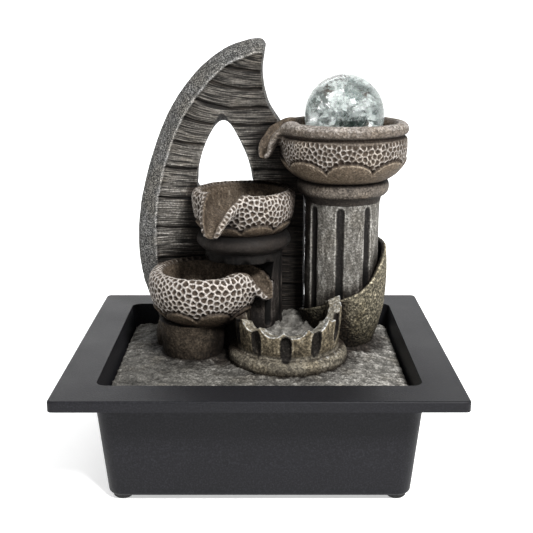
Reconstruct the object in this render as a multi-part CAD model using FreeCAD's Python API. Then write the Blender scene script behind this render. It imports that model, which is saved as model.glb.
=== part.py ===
"""Tabletop water fountain with three spilling bowls, a pierced crescent fin and a glass ball.

Frame: origin on the floor under the middle of the basin, +X to the right of the front view,
+Y to the back, +Z up.  All lengths are in millimetres.

A moulded basin holds the water.  A deck of cast resin rests on four posts inside it and carries the
fin, the two fluted columns, the bowls and the front pool.  A small submersible pump hangs under the
deck on its hose and feeds the nozzle that floats the glass ball.
"""
import FreeCAD, Part
import math
import os

Vector = FreeCAD.Vector

# ---------------------------------------------------------------- driving dimensions
RIM_HALF_X, RIM_HALF_Y = 105.0, 90.0       # outer edge of the basin rim
RIM_TOP = 66.5
RIM_DROP = 5.7                             # depth of the turned-down rim edge
RIM_CORNER = 3.0
BASIN_WALL = 2.3
BASIN_BOTTOM = 3.3                         # underside of the tub above the floor
TUB_TOP_X, TUB_TOP_Y = 86.8, 71.8          # tub half widths under the rim
TUB_LOW_X, TUB_LOW_Y = 80.9, 69.6          # tub half widths at the underside
TUB_CORNER = 8.0
FOOT_X, FOOT_Y, FOOT_R = 73.4, 61.2, 5.4

DECK_HALF_X, DECK_HALF_Y = 81.6, 66.4
DECK_LOW, DECK_EDGE_TOP, DECK_TOP = 46.0, 53.5, 56.5
DECK_CORNER = 10.0
POST_REACH = 12.0                          # how far each corner post stands in from the tub wall

MAIN_X, MAIN_Y = 49.0, 30.0                # axis of the tall column, top bowl, ball and hose
MAIN_R, BORE_R = 22.3, 15.0
COLUMN_FOOT = 74.0                         # the tall column stands in the cup of the horn shell
BALL_R, BALL_Z = 23.4, 194.5
TOP_BOWL_LOW, TOP_BOWL_RIM = 157.5, 187.0
MID_X, MID_Y, MID_R = -10.0, 28.0, 23.5    # axis and radius of the second column
MID_BOWL_LOW, MID_BOWL_RIM = 127.0, 148.5
LOW_X, LOW_Y = -33.4, 9.8                  # axis of the lower bowl
LOW_BOWL_LOW, LOW_BOWL_RIM = 78.0, 104.0
PED_X, PED_Y, PED_R = -39.0, 8.0, 18.7     # pedestal under the lower bowl
POOL_X, POOL_Y, POOL_R = 16.0, -2.5, 34.3  # outer radius over the base moulding of the front pool
POOL_FLOOR, SCOOP_R = 64.0, 7.6
CUSPS = [(-140, 87), (-100, 87), (-75, 86), (-33, 83), (-5, 81.4), (22, 82.6), (48, 86), (74, 91), (120, 92)]
HORN_TOP = 119.0

FIN_FRONT, FIN_MID, FIN_BACK = 36.0, 44.0, 58.0   # Y of the striated face, the outline and the back
FIN_TOP = 237.5

PUMP_LOW, PUMP_TOP = 8.6, 38.0
PUMP_X0, PUMP_X1 = 14.0, 54.0
PUMP_Y0, PUMP_Y1 = 15.0, 45.0
ROTOR_Y, ROTOR_Z = 30.0, 26.5
SHAFT_R = 1.0
RUNNING = 0.05                             # radial clearance of a running fit

INLET_X, INLET_HALF = 54.0, 8.0            # socket block in the notch at the back of the rim
LEAD_R = 1.5
HOSE_R, HOSE_BORE = 6.3, 5.05

os.makedirs("parts", exist_ok=True)
nodes = {}


# ---------------------------------------------------------------- shape helpers
def box(x0, x1, y0, y1, z0, z1):
    return Part.makeBox(x1 - x0, y1 - y0, z1 - z0, Vector(x0, y0, z0))


def post(x, y, z0, z1, radius):
    return Part.makeCylinder(radius, z1 - z0, Vector(x, y, z0))


def bar_x(x0, x1, y, z, radius):
    return Part.makeCylinder(radius, x1 - x0, Vector(x0, y, z), Vector(1, 0, 0))


def rounded_wire(hx, hy, r, z):
    """Rectangle of half sizes hx, hy with corner radius r, centred on the origin at height z."""
    edges = []
    for k, (sx, sy) in enumerate(((1, 1), (-1, 1), (-1, -1), (1, -1))):
        centre = Vector(sx * (hx - r), sy * (hy - r), z)
        a, b = math.radians(90 * k), math.radians(90 * (k + 1))
        at = [centre + Vector(r * math.cos(t), r * math.sin(t), 0) for t in (a, (a + b) / 2, b)]
        if edges:
            edges.append(Part.makeLine(edges[-1].Vertexes[-1].Point, at[0]))
        edges.append(Part.Arc(*at).toShape())
    edges.append(Part.makeLine(edges[-1].Vertexes[-1].Point, edges[0].Vertexes[0].Point))
    return Part.Wire(edges)


def taper(low, high):
    """Solid between two rounded rectangles, each given as (hx, hy, corner, z)."""
    return Part.makeLoft([rounded_wire(*low), rounded_wire(*high)], True, True)


def turned(x, y, profile, smooth=()):
    """Solid of revolution about the vertical through x, y.

    profile is a closed list of (radius, z).  A run of points whose first index is in smooth is
    joined by an arc through the next point to the one after.
    """
    points = [Vector(x + r, y, z) for r, z in profile]
    edges, k, count = [], 0, len(points)
    while k < count:
        if k in smooth:
            edges.append(Part.Arc(points[k], points[k + 1], points[(k + 2) % count]).toShape())
            k += 2
        else:
            edges.append(Part.makeLine(points[k], points[(k + 1) % count]))
            k += 1
    face = Part.Face(Part.Wire(edges))
    return face.revolve(Vector(x, y, 0), Vector(0, 0, 1), 360)


def gutter(path, radii, lifts):
    """Round tapering bar along path, each centre raised square to the path by its lift."""
    wires = []
    for k, (point, radius, lift) in enumerate(zip(path, radii, lifts)):
        along = Vector(*path[min(k + 1, len(path) - 1)]) - Vector(*path[max(k - 1, 0)])
        along.normalize()
        up = (Vector(0, 0, 1) - along * along.z).normalize()
        wires.append(Part.Wire(Part.makeCircle(radius, Vector(*point) + up * lift, along)))
    return Part.makeLoft(wires, True, False)


def outline_solid(front, back):
    return Part.makeLoft([front, back], True, True)


def spline(points):
    curve = Part.BSplineCurve()
    curve.interpolate(points)
    return curve.toShape()


def tube(points, radii, radius):
    """Solid round cord: straight runs joined by tangent arcs of the given radii."""
    corners = [Vector(*p) for p in points]
    edges, start = [], corners[0]
    for k, bend in enumerate(radii, start=1):
        into = (corners[k] - corners[k - 1]).normalize()
        out = (corners[k + 1] - corners[k]).normalize()
        half = into.getAngle(out) / 2
        a = corners[k] - into * bend * math.tan(half)
        b = corners[k] + out * bend * math.tan(half)
        inward = (out - into).normalize()
        middle = corners[k] + inward * bend * (1 / math.cos(half) - 1)
        if (a - start).Length > 1e-6:
            edges.append(Part.makeLine(start, a))
        edges.append(Part.Arc(a, middle, b).toShape())
        start = b
    edges.append(Part.makeLine(start, corners[-1]))
    path = Part.Wire(edges)
    section = Part.Wire(Part.makeCircle(radius, corners[0], corners[1] - corners[0]))
    solid = path.makePipeShell([section], True, False)
    expected = math.pi * radius ** 2 * path.Length
    print("cord: length %.1f, bend radii %s, volume ratio %.4f"
          % (path.Length, radii, solid.Volume / expected))
    return solid


def largest(shape):
    return max(shape.Solids, key=lambda s: s.Volume)


def keep(name, shape, single=True):
    nodes[name] = largest(shape) if single else shape
    return nodes[name]


# ---------------------------------------------------------------- basin and feet
def make_basin():
    low = (TUB_LOW_X, TUB_LOW_Y, TUB_CORNER, BASIN_BOTTOM)
    high = (TUB_TOP_X, TUB_TOP_Y, TUB_CORNER, RIM_TOP)
    tub = taper(low, high)
    bottom = [e for e in tub.Edges if e.BoundBox.ZMax < BASIN_BOTTOM + 0.01]
    tub = tub.makeFillet(2.0, bottom)
    rim = taper((RIM_HALF_X, RIM_HALF_Y, RIM_CORNER, RIM_TOP - RIM_DROP),
                (RIM_HALF_X, RIM_HALF_Y, RIM_CORNER, RIM_TOP))
    under = taper((RIM_HALF_X - BASIN_WALL, RIM_HALF_Y - BASIN_WALL, RIM_CORNER, RIM_TOP - RIM_DROP - 1),
                  (RIM_HALF_X - BASIN_WALL, RIM_HALF_Y - BASIN_WALL, RIM_CORNER, RIM_TOP - BASIN_WALL))
    edge = [e for e in rim.Edges if e.BoundBox.ZMin > RIM_TOP - 0.01]
    rim = rim.makeFillet(1.2, edge).cut(under)
    cavity = taper((TUB_LOW_X - BASIN_WALL, TUB_LOW_Y - BASIN_WALL, TUB_CORNER - BASIN_WALL,
                    BASIN_BOTTOM + BASIN_WALL),
                   (TUB_TOP_X - BASIN_WALL, TUB_TOP_Y - BASIN_WALL, TUB_CORNER - BASIN_WALL,
                    RIM_TOP + 1))
    basin = rim.fuse(tub)
    posts = None
    for sx in (-1, 1):
        for sy in (-1, 1):
            x_in, y_in = TUB_LOW_X - POST_REACH, TUB_LOW_Y - POST_REACH
            xs, ys = sorted((sx * x_in, sx * TUB_TOP_X)), sorted((sy * y_in, sy * TUB_TOP_Y))
            corner = box(xs[0], xs[1], ys[0], ys[1], BASIN_BOTTOM + 1, DECK_LOW)
            posts = corner if posts is None else posts.fuse(corner)
    notch = box(INLET_X - INLET_HALF - 0.4, INLET_X + INLET_HALF + 0.4, 60, RIM_HALF_Y + 1,
                55.0, RIM_TOP + 1)
    keep("basin", basin.cut(cavity.cut(posts)).cut(notch))


def make_feet():
    for side, sx in (("left", -1), ("right", 1)):
        for end, sy in (("front", -1), ("rear", 1)):
            profile = [(0, 0), (FOOT_R - 0.8, 0), (FOOT_R, 0.8), (FOOT_R, BASIN_BOTTOM), (0, BASIN_BOTTOM)]
            keep("foot_%s_%s" % (end, side), turned(sx * FOOT_X, sy * FOOT_Y, profile))


# ---------------------------------------------------------------- castings
def flutes(x, y, radius, count, first_deg, groove_r, z0, z1):
    """Round-ended vertical grooves, count of them, set by their angle from the front."""
    tools = None
    for k in range(count):
        angle = math.radians(first_deg + 360.0 * k / count)
        gx, gy = x + (radius + 1.0) * math.sin(angle), y - (radius + 1.0) * math.cos(angle)
        groove = post(gx, gy, z0, z1, groove_r).fuse(Part.makeSphere(groove_r, Vector(gx, gy, z1)))
        tools = groove if tools is None else tools.fuse(groove)
    return tools


def make_columns():
    main = post(MAIN_X, MAIN_Y, COLUMN_FOOT, 144.5, MAIN_R)
    main = main.cut(flutes(MAIN_X, MAIN_Y, MAIN_R, 8, -7.0, 2.7, 70, 140))
    keep("main_column", main.cut(post(MAIN_X, MAIN_Y, 0, 200, BORE_R)))

    capital = turned(MAIN_X, MAIN_Y, [(BORE_R, 144.5), (MAIN_R, 144.5), (23.0, 147.5), (25.5, 149.5),
                                      (27.3, 153.6), (25.5, TOP_BOWL_LOW), (BORE_R, TOP_BOWL_LOW)],
                     smooth=(1, 3))
    keep("main_capital", capital)

    middle = post(MID_X, MID_Y, DECK_TOP - 4, 116.0, MID_R)
    keep("middle_column", middle.cut(flutes(MID_X, MID_Y, MID_R, 10, 40.0, 2.7, 76, 108)))
    collar = turned(MID_X, MID_Y, [(0, 116.0), (24.5, 116.0), (28.2, 121.5), (24.5, MID_BOWL_LOW),
                                   (0, MID_BOWL_LOW)], smooth=(1,))
    keep("middle_collar", collar)
    pedestal = turned(PED_X, PED_Y, [(0, DECK_TOP - 4), (PED_R - 2, DECK_TOP - 4), (PED_R, 66),
                                     (PED_R + 1.5, LOW_BOWL_LOW), (0, LOW_BOWL_LOW)], smooth=(1,))
    keep("lower_pedestal", pedestal.cut(post(MID_X, MID_Y, 0, 120, MID_R)))


def bowl(name, x, y, outer, outer_arcs, inner, inner_arcs, path, radii, wall):
    """Turned bowl with a pouring lip; returns the bowl filled in, for trimming its neighbours."""
    lip = gutter(path, [r + wall for r in radii], [0.0] * len(radii))
    lip = lip.cut(gutter(path, [r * 1.5 + wall for r in radii], [r * 1.4 for r in radii]))
    filled = turned(x, y, outer, outer_arcs).fuse(lip)
    hollow = turned(x, y, inner, inner_arcs)
    channel = gutter(path, radii, [wall] * len(radii))
    keep(name, filled.cut(hollow).cut(channel))
    return filled.fuse(hollow)


def make_bowls():
    top = bowl("top_bowl", MAIN_X, MAIN_Y,
               [(0, TOP_BOWL_LOW), (25.5, TOP_BOWL_LOW), (34.0, 164.6), (37.3, 175.0), (37.3, 182.5),
                (36.4, 183.2), (37.5, TOP_BOWL_RIM), (33.5, TOP_BOWL_RIM + 4), (0, TOP_BOWL_RIM + 4)],
               (1, 5),
               [(0, 168.5), (19.0, 168.5), (26.5, 174.0), (29.5, 183.0), (29.5, TOP_BOWL_RIM),
                (33.5, TOP_BOWL_RIM + 4.1), (0, TOP_BOWL_RIM + 4.1)], (1,),
               [(22.0, 30.0, 191.5), (10.0, 29.0, 187.5), (4.0, 27.0, 180.0), (1.6, 25.5, 172.0)],
               [9.0, 6.5, 4.2, 2.6], 2.6)
    middle = bowl("middle_bowl", MID_X, MID_Y,
                  [(0, MID_BOWL_LOW), (21.0, MID_BOWL_LOW), (28.4, 133.5), (30.4, 142.0),
                   (30.4, MID_BOWL_RIM - 1), (28.2, 150.8), (26.2, MID_BOWL_RIM), (0, MID_BOWL_RIM)],
                  (1, 4),
                  [(0, 133.0), (14.0, 133.0), (22.0, 138.0), (23.8, MID_BOWL_RIM),
                   (24.4, 153.0), (0, 153.0)], (1,),
                  [(-18.0, 9.0, 151.0), (-22.5, -3.0, 146.5), (-25.4, -9.5, 139.0), (-26.8, -12.5, 132.0)],
                  [9.0, 7.0, 4.6, 2.4], 2.6)
    low = bowl("lower_bowl", LOW_X, LOW_Y,
               [(0, LOW_BOWL_LOW), (19.0, LOW_BOWL_LOW), (29.0, 86.0), (31.8, 96.5), (31.4, LOW_BOWL_RIM - 2),
                (28.4, 107.6), (24.0, LOW_BOWL_RIM), (0, LOW_BOWL_RIM)], (1, 4),
               [(0, 92.0), (12.0, 92.0), (21.0, 96.0), (24.0, LOW_BOWL_RIM), (25.4, 116.5), (0, 116.5)],
               (1,),
               [(-14.0, 7.5, 107.0), (-5.0, 6.0, 104.0), (1.2, 4.0, 99.4), (3.8, 2.8, 94.8)],
               [10.0, 7.6, 4.8, 2.4], 2.8)
    nodes["middle_column"] = largest(nodes["middle_column"].cut(low))
    nodes["middle_collar"] = largest(nodes["middle_collar"].cut(low))
    return [top, middle, low]


def fin_wire(y, left, tip, right, foot_x, foot_z):
    """Closed outline of the fin in the plane y: left edge, tip, right edge, foot."""
    at = lambda pairs: [Vector(x, y, z) for x, z in pairs]
    rise, fall = spline(at(left)), spline(at(right))
    end = Vector(foot_x, y, foot_z)
    nose = Part.Arc(Vector(left[-1][0], y, left[-1][1]), Vector(tip[0], y, tip[1]),
                    Vector(right[0][0], y, right[0][1])).toShape()
    side = Part.makeLine(Vector(right[-1][0], y, right[-1][1]), end)
    sole = Part.makeLine(end, Vector(left[0][0], y, left[0][1]))
    return Part.Wire([rise, nose, fall, side, sole])


def hole_wire(y, points):
    """Closed smooth outline of the fin's window in the plane y."""
    curve = Part.BSplineCurve()
    curve.interpolate([Vector(x, y, z) for x, z in points], True)
    return Part.Wire([curve.toShape()])


def make_fin(filled_bowls):
    foot_z = DECK_TOP - 3
    outline = [(-58.0, foot_z), (-67.5, 74.0), (-74.2, 97.0), (-75.4, 120.0), (-70.0, 156.0),
               (-57.4, 192.0), (-33.0, 222.6), (-6.0, FIN_TOP - 0.5)]
    crease = [(-50.0, foot_z), (-57.5, 74.0), (-62.6, 97.0), (-64.2, 121.0), (-60.6, 152.0),
              (-47.0, 190.5), (-24.0, 219.5), (-3.0, 229.8)]
    right = [(3.0, 231.5), (1.5, 218.0), (4.8, 201.0), (13.0, 187.5), (24.0, 166.0), (27.5, 146.0)]
    inner = [(1.4, 226.5), (0.6, 216.0), (3.8, 201.0), (12.0, 187.5), (23.0, 166.0), (26.5, 146.0)]
    back_wire = fin_wire(FIN_MID, outline, (1.6, 236.0), right, 27.5, foot_z)
    front_wire = fin_wire(FIN_FRONT, crease, (0.2, 229.6), inner, 26.5, foot_z)
    bevel = outline_solid(front_wire, back_wire)
    slab = Part.Face(back_wire).extrude(Vector(0, FIN_BACK - FIN_MID, 0))
    wide = hole_wire(FIN_FRONT - 1, [(-38.0, 150.0), (-37.6, 160.0), (-34.0, 173.5), (-29.0, 184.5),
                                     (-23.0, 194.0), (-16.5, 186.5), (-9.5, 174.0), (-4.8, 161.0),
                                     (-3.2, 150.0), (-7.0, 141.0), (-20.0, 136.0), (-33.0, 141.0)])
    tight = hole_wire(FIN_BACK + 1, [(-38.8, 150.0), (-37.8, 162.0), (-33.4, 175.6), (-27.6, 185.4),
                                     (-22.4, 188.2), (-17.6, 184.8), (-12.7, 175.8), (-7.6, 163.6),
                                     (-5.2, 150.0), (-9.0, 143.0), (-20.0, 139.0), (-33.0, 142.0)])
    fin = bevel.fuse(slab).cut(outline_solid(wide, tight))
    for trim in filled_bowls + [nodes["main_column"], nodes["middle_column"], nodes["middle_collar"],
                                nodes["lower_pedestal"], post(MAIN_X, MAIN_Y, 0, 145, MAIN_R + 2),
                                nodes["main_capital"]]:
        fin = fin.cut(trim)
    keep("crescent_fin", fin)


def make_horn():
    """Cup under the tall column that opens into a shell rising towards the back."""
    cup = turned(MAIN_X, MAIN_Y, [(BORE_R, DECK_TOP - 3), (19.6, DECK_TOP - 3), (25.6, 76.0), (27.6, 94.0),
                                  (27.0, HORN_TOP), (24.2, HORN_TOP), (24.2, 94.0), (23.0, 82.0),
                                  (MAIN_R, COLUMN_FOOT), (BORE_R, COLUMN_FOOT)], smooth=(1,))
    rim = [(19, 75.5), (27, 80.5), (36.3, 85), (45.2, 88.6), (50.9, 90.8), (58.7, 94), (63.7, 98),
           (67.8, 103), (70.8, 108), (74.4, 113.5), (79, 120.5), (79, 200), (19, 200), (19, 75.5)]
    outline = Part.makePolygon([Vector(x, -20, z) for x, z in rim])
    above = Part.Face(outline).extrude(Vector(0, 20 + MAIN_Y, 0))
    behind = box(0, MAIN_X - 4, MAIN_Y, 80, COLUMN_FOOT, 200)
    horn = cup.cut(above).cut(behind)
    keep("horn_shell", horn.cut(nodes["crescent_fin"]).cut(nodes["middle_column"]))


def pool_level(degrees):
    """Height of the pool's cusps at an angle from the front, interpolated in CUSPS."""
    for (a0, z0), (a1, z1) in zip(CUSPS, CUSPS[1:]):
        if degrees <= a1:
            return z0 + (z1 - z0) * (degrees - a0) / (a1 - a0)
    return CUSPS[-1][1]


def scallop(degrees):
    """Round-bottomed notch through the pool's wall, open at the top."""
    angle, up = math.radians(degrees), Vector(0, 0, 1)
    out, side = Vector(math.sin(angle), -math.cos(angle), 0), Vector(math.cos(angle), math.sin(angle), 0)
    centre = Vector(POOL_X, POOL_Y, pool_level(degrees) + 4.4) + out * 16
    left, right = centre - side * SCOOP_R, centre + side * SCOOP_R
    outline = [Part.Arc(left, centre - up * SCOOP_R, right).toShape(), Part.makeLine(right, right + up * 20),
               Part.makeLine(right + up * 20, left + up * 20), Part.makeLine(left + up * 20, left)]
    return Part.Face(Part.Wire(outline)).extrude(out * 25)


def make_pool(filled_low):
    base = turned(POOL_X, POOL_Y, [(0, DECK_TOP - 4), (POOL_R - 2, DECK_TOP - 4), (POOL_R, 61.5),
                                   (POOL_R - 4, 66.2), (0, 66.2)], smooth=(1,))
    wall = Part.makeCone(29.7, 31.2, 27, Vector(POOL_X, POOL_Y, 66))
    pool = base.fuse(wall).cut(post(POOL_X, POOL_Y, POOL_FLOOR, 100, 23.8))
    for k in range(-5, 5):
        pool = pool.cut(scallop(7.75 + 26.5 * k))
    for k in range(-3, 4):
        angle, level = math.radians(-3.0 + 34.0 * k), pool_level(-3.0 + 34.0 * k)
        gx, gy = POOL_X + 32.6 * math.sin(angle), POOL_Y - 32.6 * math.cos(angle)
        pool = pool.cut(post(gx, gy, level - 12.5, level - 6.0, 3.0))
        for z in (level - 12.5, level - 6.0):
            pool = pool.cut(Part.makeSphere(3.0, Vector(gx, gy, z)))
    pool = pool.cut(box(-60, 90, POOL_Y + 10, 80, POOL_FLOOR, 120))
    pool = pool.cut(filled_low).cut(post(MAIN_X, MAIN_Y, 0, 145, BORE_R))
    for trim in ("main_column", "middle_column", "horn_shell", "crescent_fin", "lower_pedestal"):
        pool = pool.cut(nodes[trim])
    keep("front_pool", pool)


def make_plinth():
    """Rough stone between the feet of the columns, behind the pool."""
    foot = [Vector(-30, 14, 0), (-14, -2), (16, 6), (30, 2), (40, 14), (44, 54), (-34, 54)]
    ring_points = [Vector(p[0], p[1], DECK_TOP - 3) for p in foot]
    low = Part.Wire(Part.makePolygon(ring_points + ring_points[:1]))
    high_points = [Vector(p.x * 0.86 + 1, p.y * 0.9 + 4, 72) for p in ring_points]
    high = Part.Wire(Part.makePolygon(high_points + high_points[:1]))
    rock = Part.makeLoft([low, high], True, True)
    for trim in ("main_column", "middle_column", "horn_shell", "crescent_fin", "lower_pedestal",
                 "front_pool"):
        rock = rock.cut(nodes[trim])
    keep("rock_plinth", rock.cut(post(MAIN_X, MAIN_Y, 0, 145, BORE_R)))


def make_deck():
    plate = taper((DECK_HALF_X, DECK_HALF_Y, DECK_CORNER, DECK_LOW),
                  (DECK_HALF_X, DECK_HALF_Y, DECK_CORNER, DECK_EDGE_TOP))
    crown = taper((DECK_HALF_X, DECK_HALF_Y, DECK_CORNER, DECK_EDGE_TOP),
                  (DECK_HALF_X - 12, DECK_HALF_Y - 12, DECK_CORNER, DECK_TOP))
    pocket = taper((DECK_HALF_X - 7, DECK_HALF_Y - 7, 6, DECK_LOW - 1),
                   (DECK_HALF_X - 7, DECK_HALF_Y - 7, 6, DECK_EDGE_TOP - 4))
    deck = plate.fuse(crown).cut(pocket)
    deck = deck.cut(box(INLET_X - INLET_HALF - 1, INLET_X + INLET_HALF + 1, DECK_HALF_Y - 8,
                        DECK_HALF_Y + 1, DECK_LOW - 1, DECK_TOP + 1))
    for name in ("main_column", "middle_column", "lower_pedestal", "front_pool", "rock_plinth",
                 "horn_shell", "crescent_fin"):
        deck = deck.cut(nodes[name])
    keep("deck_casting", deck.cut(post(MAIN_X, MAIN_Y, 0, 145, BORE_R)))


# ---------------------------------------------------------------- ball, nozzle and lamp
def make_ball_and_lamp():
    centre = Vector(MAIN_X, MAIN_Y, BALL_Z)
    keep("glass_ball", Part.makeSphere(BALL_R, centre))
    seat = post(MAIN_X, MAIN_Y, 167.5, 175.6, 14.5).cut(Part.makeSphere(BALL_R + 0.3, centre))
    seat = seat.fuse(post(MAIN_X, MAIN_Y, 154.0, 168.0, HOSE_BORE - 0.05))
    keep("ball_seat", seat.cut(post(MAIN_X, MAIN_Y, 150, 190, 3.2)))
    shell = post(MAIN_X, MAIN_Y, 156.0, 167.5, 14.4).cut(post(MAIN_X, MAIN_Y, 157.6, 168, 13.2))
    shell = shell.fuse(post(MAIN_X, MAIN_Y, 156.0, 167.5, 7.6))
    keep("lamp_housing", shell.cut(post(MAIN_X, MAIN_Y, 150, 170, HOSE_R + 0.1)))
    board = post(MAIN_X, MAIN_Y, 160.0, 161.6, 13.0).cut(post(MAIN_X, MAIN_Y, 159, 163, 7.8))
    keep("lamp_board", board)
    chips = []
    for k in range(6):
        angle = math.radians(60 * k + 20)
        x, y = MAIN_X + 10.4 * math.cos(angle), MAIN_Y + 10.4 * math.sin(angle)
        chips.append(box(x - 1.4, x + 1.4, y - 1.4, y + 1.4, 161.6, 162.8))
    keep("lamp_chips", Part.makeCompound(chips), single=False)
    resin = post(MAIN_X, MAIN_Y, 161.6, 167.5, 13.2).cut(post(MAIN_X, MAIN_Y, 160, 168, 7.6))
    for chip in chips:
        resin = resin.cut(chip)
    keep("lamp_window", resin)
    nodes["top_bowl"] = largest(nodes["top_bowl"].cut(post(MAIN_X, MAIN_Y, 150, 180, 14.5)))
    hose = post(MAIN_X, MAIN_Y, PUMP_TOP + 0.4, 166.6, HOSE_R)
    keep("water_hose", hose.cut(post(MAIN_X, MAIN_Y, 30, 170, HOSE_BORE)))


# ---------------------------------------------------------------- pump
def make_pump():
    body = box(PUMP_X0, PUMP_X1, PUMP_Y0, PUMP_Y1, PUMP_LOW, PUMP_TOP)
    upright = [e for e in body.Edges if abs(e.BoundBox.ZLength - (PUMP_TOP - PUMP_LOW)) < 0.1]
    body = body.makeFillet(3.0, upright)
    body = body.fuse(post(MAIN_X, MAIN_Y, PUMP_TOP - 1, 48.0, HOSE_BORE - 0.05))
    cavity = box(PUMP_X0 - 1, 37.0, PUMP_Y0 + 2, PUMP_Y1 - 2, PUMP_LOW + 1.8, PUMP_TOP - 1.8)
    well = bar_x(20.0, 45.0, ROTOR_Y, ROTOR_Z, 8.6)
    chamber = bar_x(43.4, PUMP_X1 + 1, ROTOR_Y, ROTOR_Z, 10.9)
    body = body.cut(cavity).fuse(well).cut(bar_x(21.4, 46.0, ROTOR_Y, ROTOR_Z, 7.4)).cut(chamber)
    body = body.cut(post(MAIN_X, MAIN_Y, ROTOR_Z, 50, 3.4))

    core = box(22.0, 33.0, 18.4, 41.6, 12.4, 35.4)
    core = core.cut(box(21, 34, 22.6, 37.4, 15.6, 19.0)).cut(box(21, 34, 27.0, 33.0, 12.0 + 5, 36.4))
    core = core.cut(bar_x(21, 34, ROTOR_Y, ROTOR_Z, 8.7))
    coil = box(19.6, 35.4, 23.2, 36.8, 10.8, 17.4).cut(box(21.9, 33.1, 22, 38, 12.3, 15.7))
    coil = coil.cut(bar_x(10, 40, ROTOR_Y, ROTOR_Z, 8.7))
    core = core.cut(coil)
    gland = Part.makeCylinder(2.6, 5, Vector(30, PUMP_Y1 - 2, 18), Vector(0, 1, 0))
    lead_hole = Part.makeCylinder(LEAD_R, 12, Vector(30, PUMP_Y1 - 3, 18), Vector(0, 1, 0))
    body = body.fuse(gland).cut(lead_hole)

    cups = []
    for x in (19.0, 49.0):
        for y in (19.6, 40.4):
            cup = turned(x, y, [(0, 7.4), (3.0, 6.4), (5.2, 5.7), (5.6, 5.9), (3.4, 7.4), (2.0, 8.4),
                                (1.8, 8.4), (1.8, 10.0), (0, 10.0)])
            cups.append(cup)
            body = body.cut(post(x, y, 8, 10.0, 1.8))
            keep("suction_cup_%d" % len(cups), cup)
    shaft = keep("rotor_shaft", bar_x(22.6, 55.4, ROTOR_Y, ROTOR_Z, SHAFT_R))
    rear = bar_x(21.4, 24.4, ROTOR_Y, ROTOR_Z, 3.0).cut(bar_x(22.6, 30, ROTOR_Y, ROTOR_Z, SHAFT_R))
    keep("bush_rear", rear)
    keep("bush_front", bar_x(53.0, 56.6, ROTOR_Y, ROTOR_Z, 2.6).cut(shaft))
    bore = bar_x(20, 60, ROTOR_Y, ROTOR_Z, SHAFT_R + RUNNING)
    keep("rotor_magnet", bar_x(24.8, 43.0, ROTOR_Y, ROTOR_Z, 6.8).cut(bore))
    hub = bar_x(43.0, 52.4, ROTOR_Y, ROTOR_Z, 2.6).fuse(bar_x(43.6, 45.0, ROTOR_Y, ROTOR_Z, 9.6))
    for k in range(6):
        blade = box(45.0, 52.0, ROTOR_Y - 0.6, ROTOR_Y + 0.6, ROTOR_Z, ROTOR_Z + 9.4)
        blade.rotate(Vector(0, ROTOR_Y, ROTOR_Z), Vector(1, 0, 0), 60 * k)
        hub = hub.fuse(blade)
    keep("impeller", hub.cut(bore))

    cover = box(PUMP_X1, 56.0, PUMP_Y0 + 2.2, PUMP_Y1 - 2.2, PUMP_LOW + 2.2, PUMP_TOP - 2.2)
    cover = cover.fuse(bar_x(56.0, 57.4, ROTOR_Y, ROTOR_Z, 4.0))
    cover = cover.cut(bar_x(50, 60, ROTOR_Y, ROTOR_Z, 2.6))
    for k in range(6):
        angle = math.radians(60 * k + 30)
        eye = bar_x(53, 58, ROTOR_Y + 7.0 * math.cos(angle), ROTOR_Z + 7.0 * math.sin(angle), 1.9)
        cover = cover.cut(eye)
    keep("volute_cover", cover)
    keep("pump_housing", body)
    potting = box(PUMP_X0 + 0.6, 37.0, PUMP_Y0 + 2, PUMP_Y1 - 2, PUMP_LOW + 1.8, PUMP_TOP - 1.8)
    lead_end = Part.makeCylinder(LEAD_R, 3, Vector(30, PUMP_Y1 - 3, 18), Vector(0, 1, 0))
    for inner in (core, coil, well, lead_end):
        potting = potting.cut(inner)
    keep("stator_core", core)
    keep("stator_coil", coil)
    keep("pump_potting", potting)


def make_strainer():
    x0, x1, wall = 54.3, 68.0, 1.6
    outer = box(x0, x1, PUMP_Y0, PUMP_Y1, PUMP_LOW, PUMP_TOP)
    shell = outer.cut(box(x0 - 1, x1 - wall, PUMP_Y0 + wall, PUMP_Y1 - wall, PUMP_LOW + wall,
                          PUMP_TOP - wall))
    for k in range(5):
        y = PUMP_Y0 + 4.5 + 4.2 * k
        if abs(y + 0.9 - ROTOR_Y) > 3.5:
            shell = shell.cut(box(x1 - 3, x1 + 1, y, y + 1.8, PUMP_LOW + 4, PUMP_TOP - 12))
            shell = shell.cut(box(x1 - 3, x1 + 1, 2 * ROTOR_Y - y - 1.8, 2 * ROTOR_Y - y,
                                  PUMP_LOW + 4, PUMP_TOP - 12))
    dial_z = PUMP_TOP - 7.0
    shell = shell.cut(bar_x(60, 70, ROTOR_Y, dial_z, 1.8 + RUNNING))
    keep("strainer_cover", shell)
    dial = bar_x(x1 + 0.2, x1 + 2.8, ROTOR_Y, dial_z, 5.4).fuse(bar_x(x1 - 3.4, x1 + 1, ROTOR_Y, dial_z, 1.8))
    for k in range(12):
        angle = math.radians(30 * k)
        notch = bar_x(x1, x1 + 3, ROTOR_Y + 5.8 * math.cos(angle), dial_z + 5.8 * math.sin(angle), 0.8)
        dial = dial.cut(notch)
    dial = dial.fuse(box(x1 + 2.8, x1 + 3.6, ROTOR_Y - 0.7, ROTOR_Y + 0.7, dial_z - 4.4, dial_z + 4.4))
    keep("flow_dial", dial)


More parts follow.
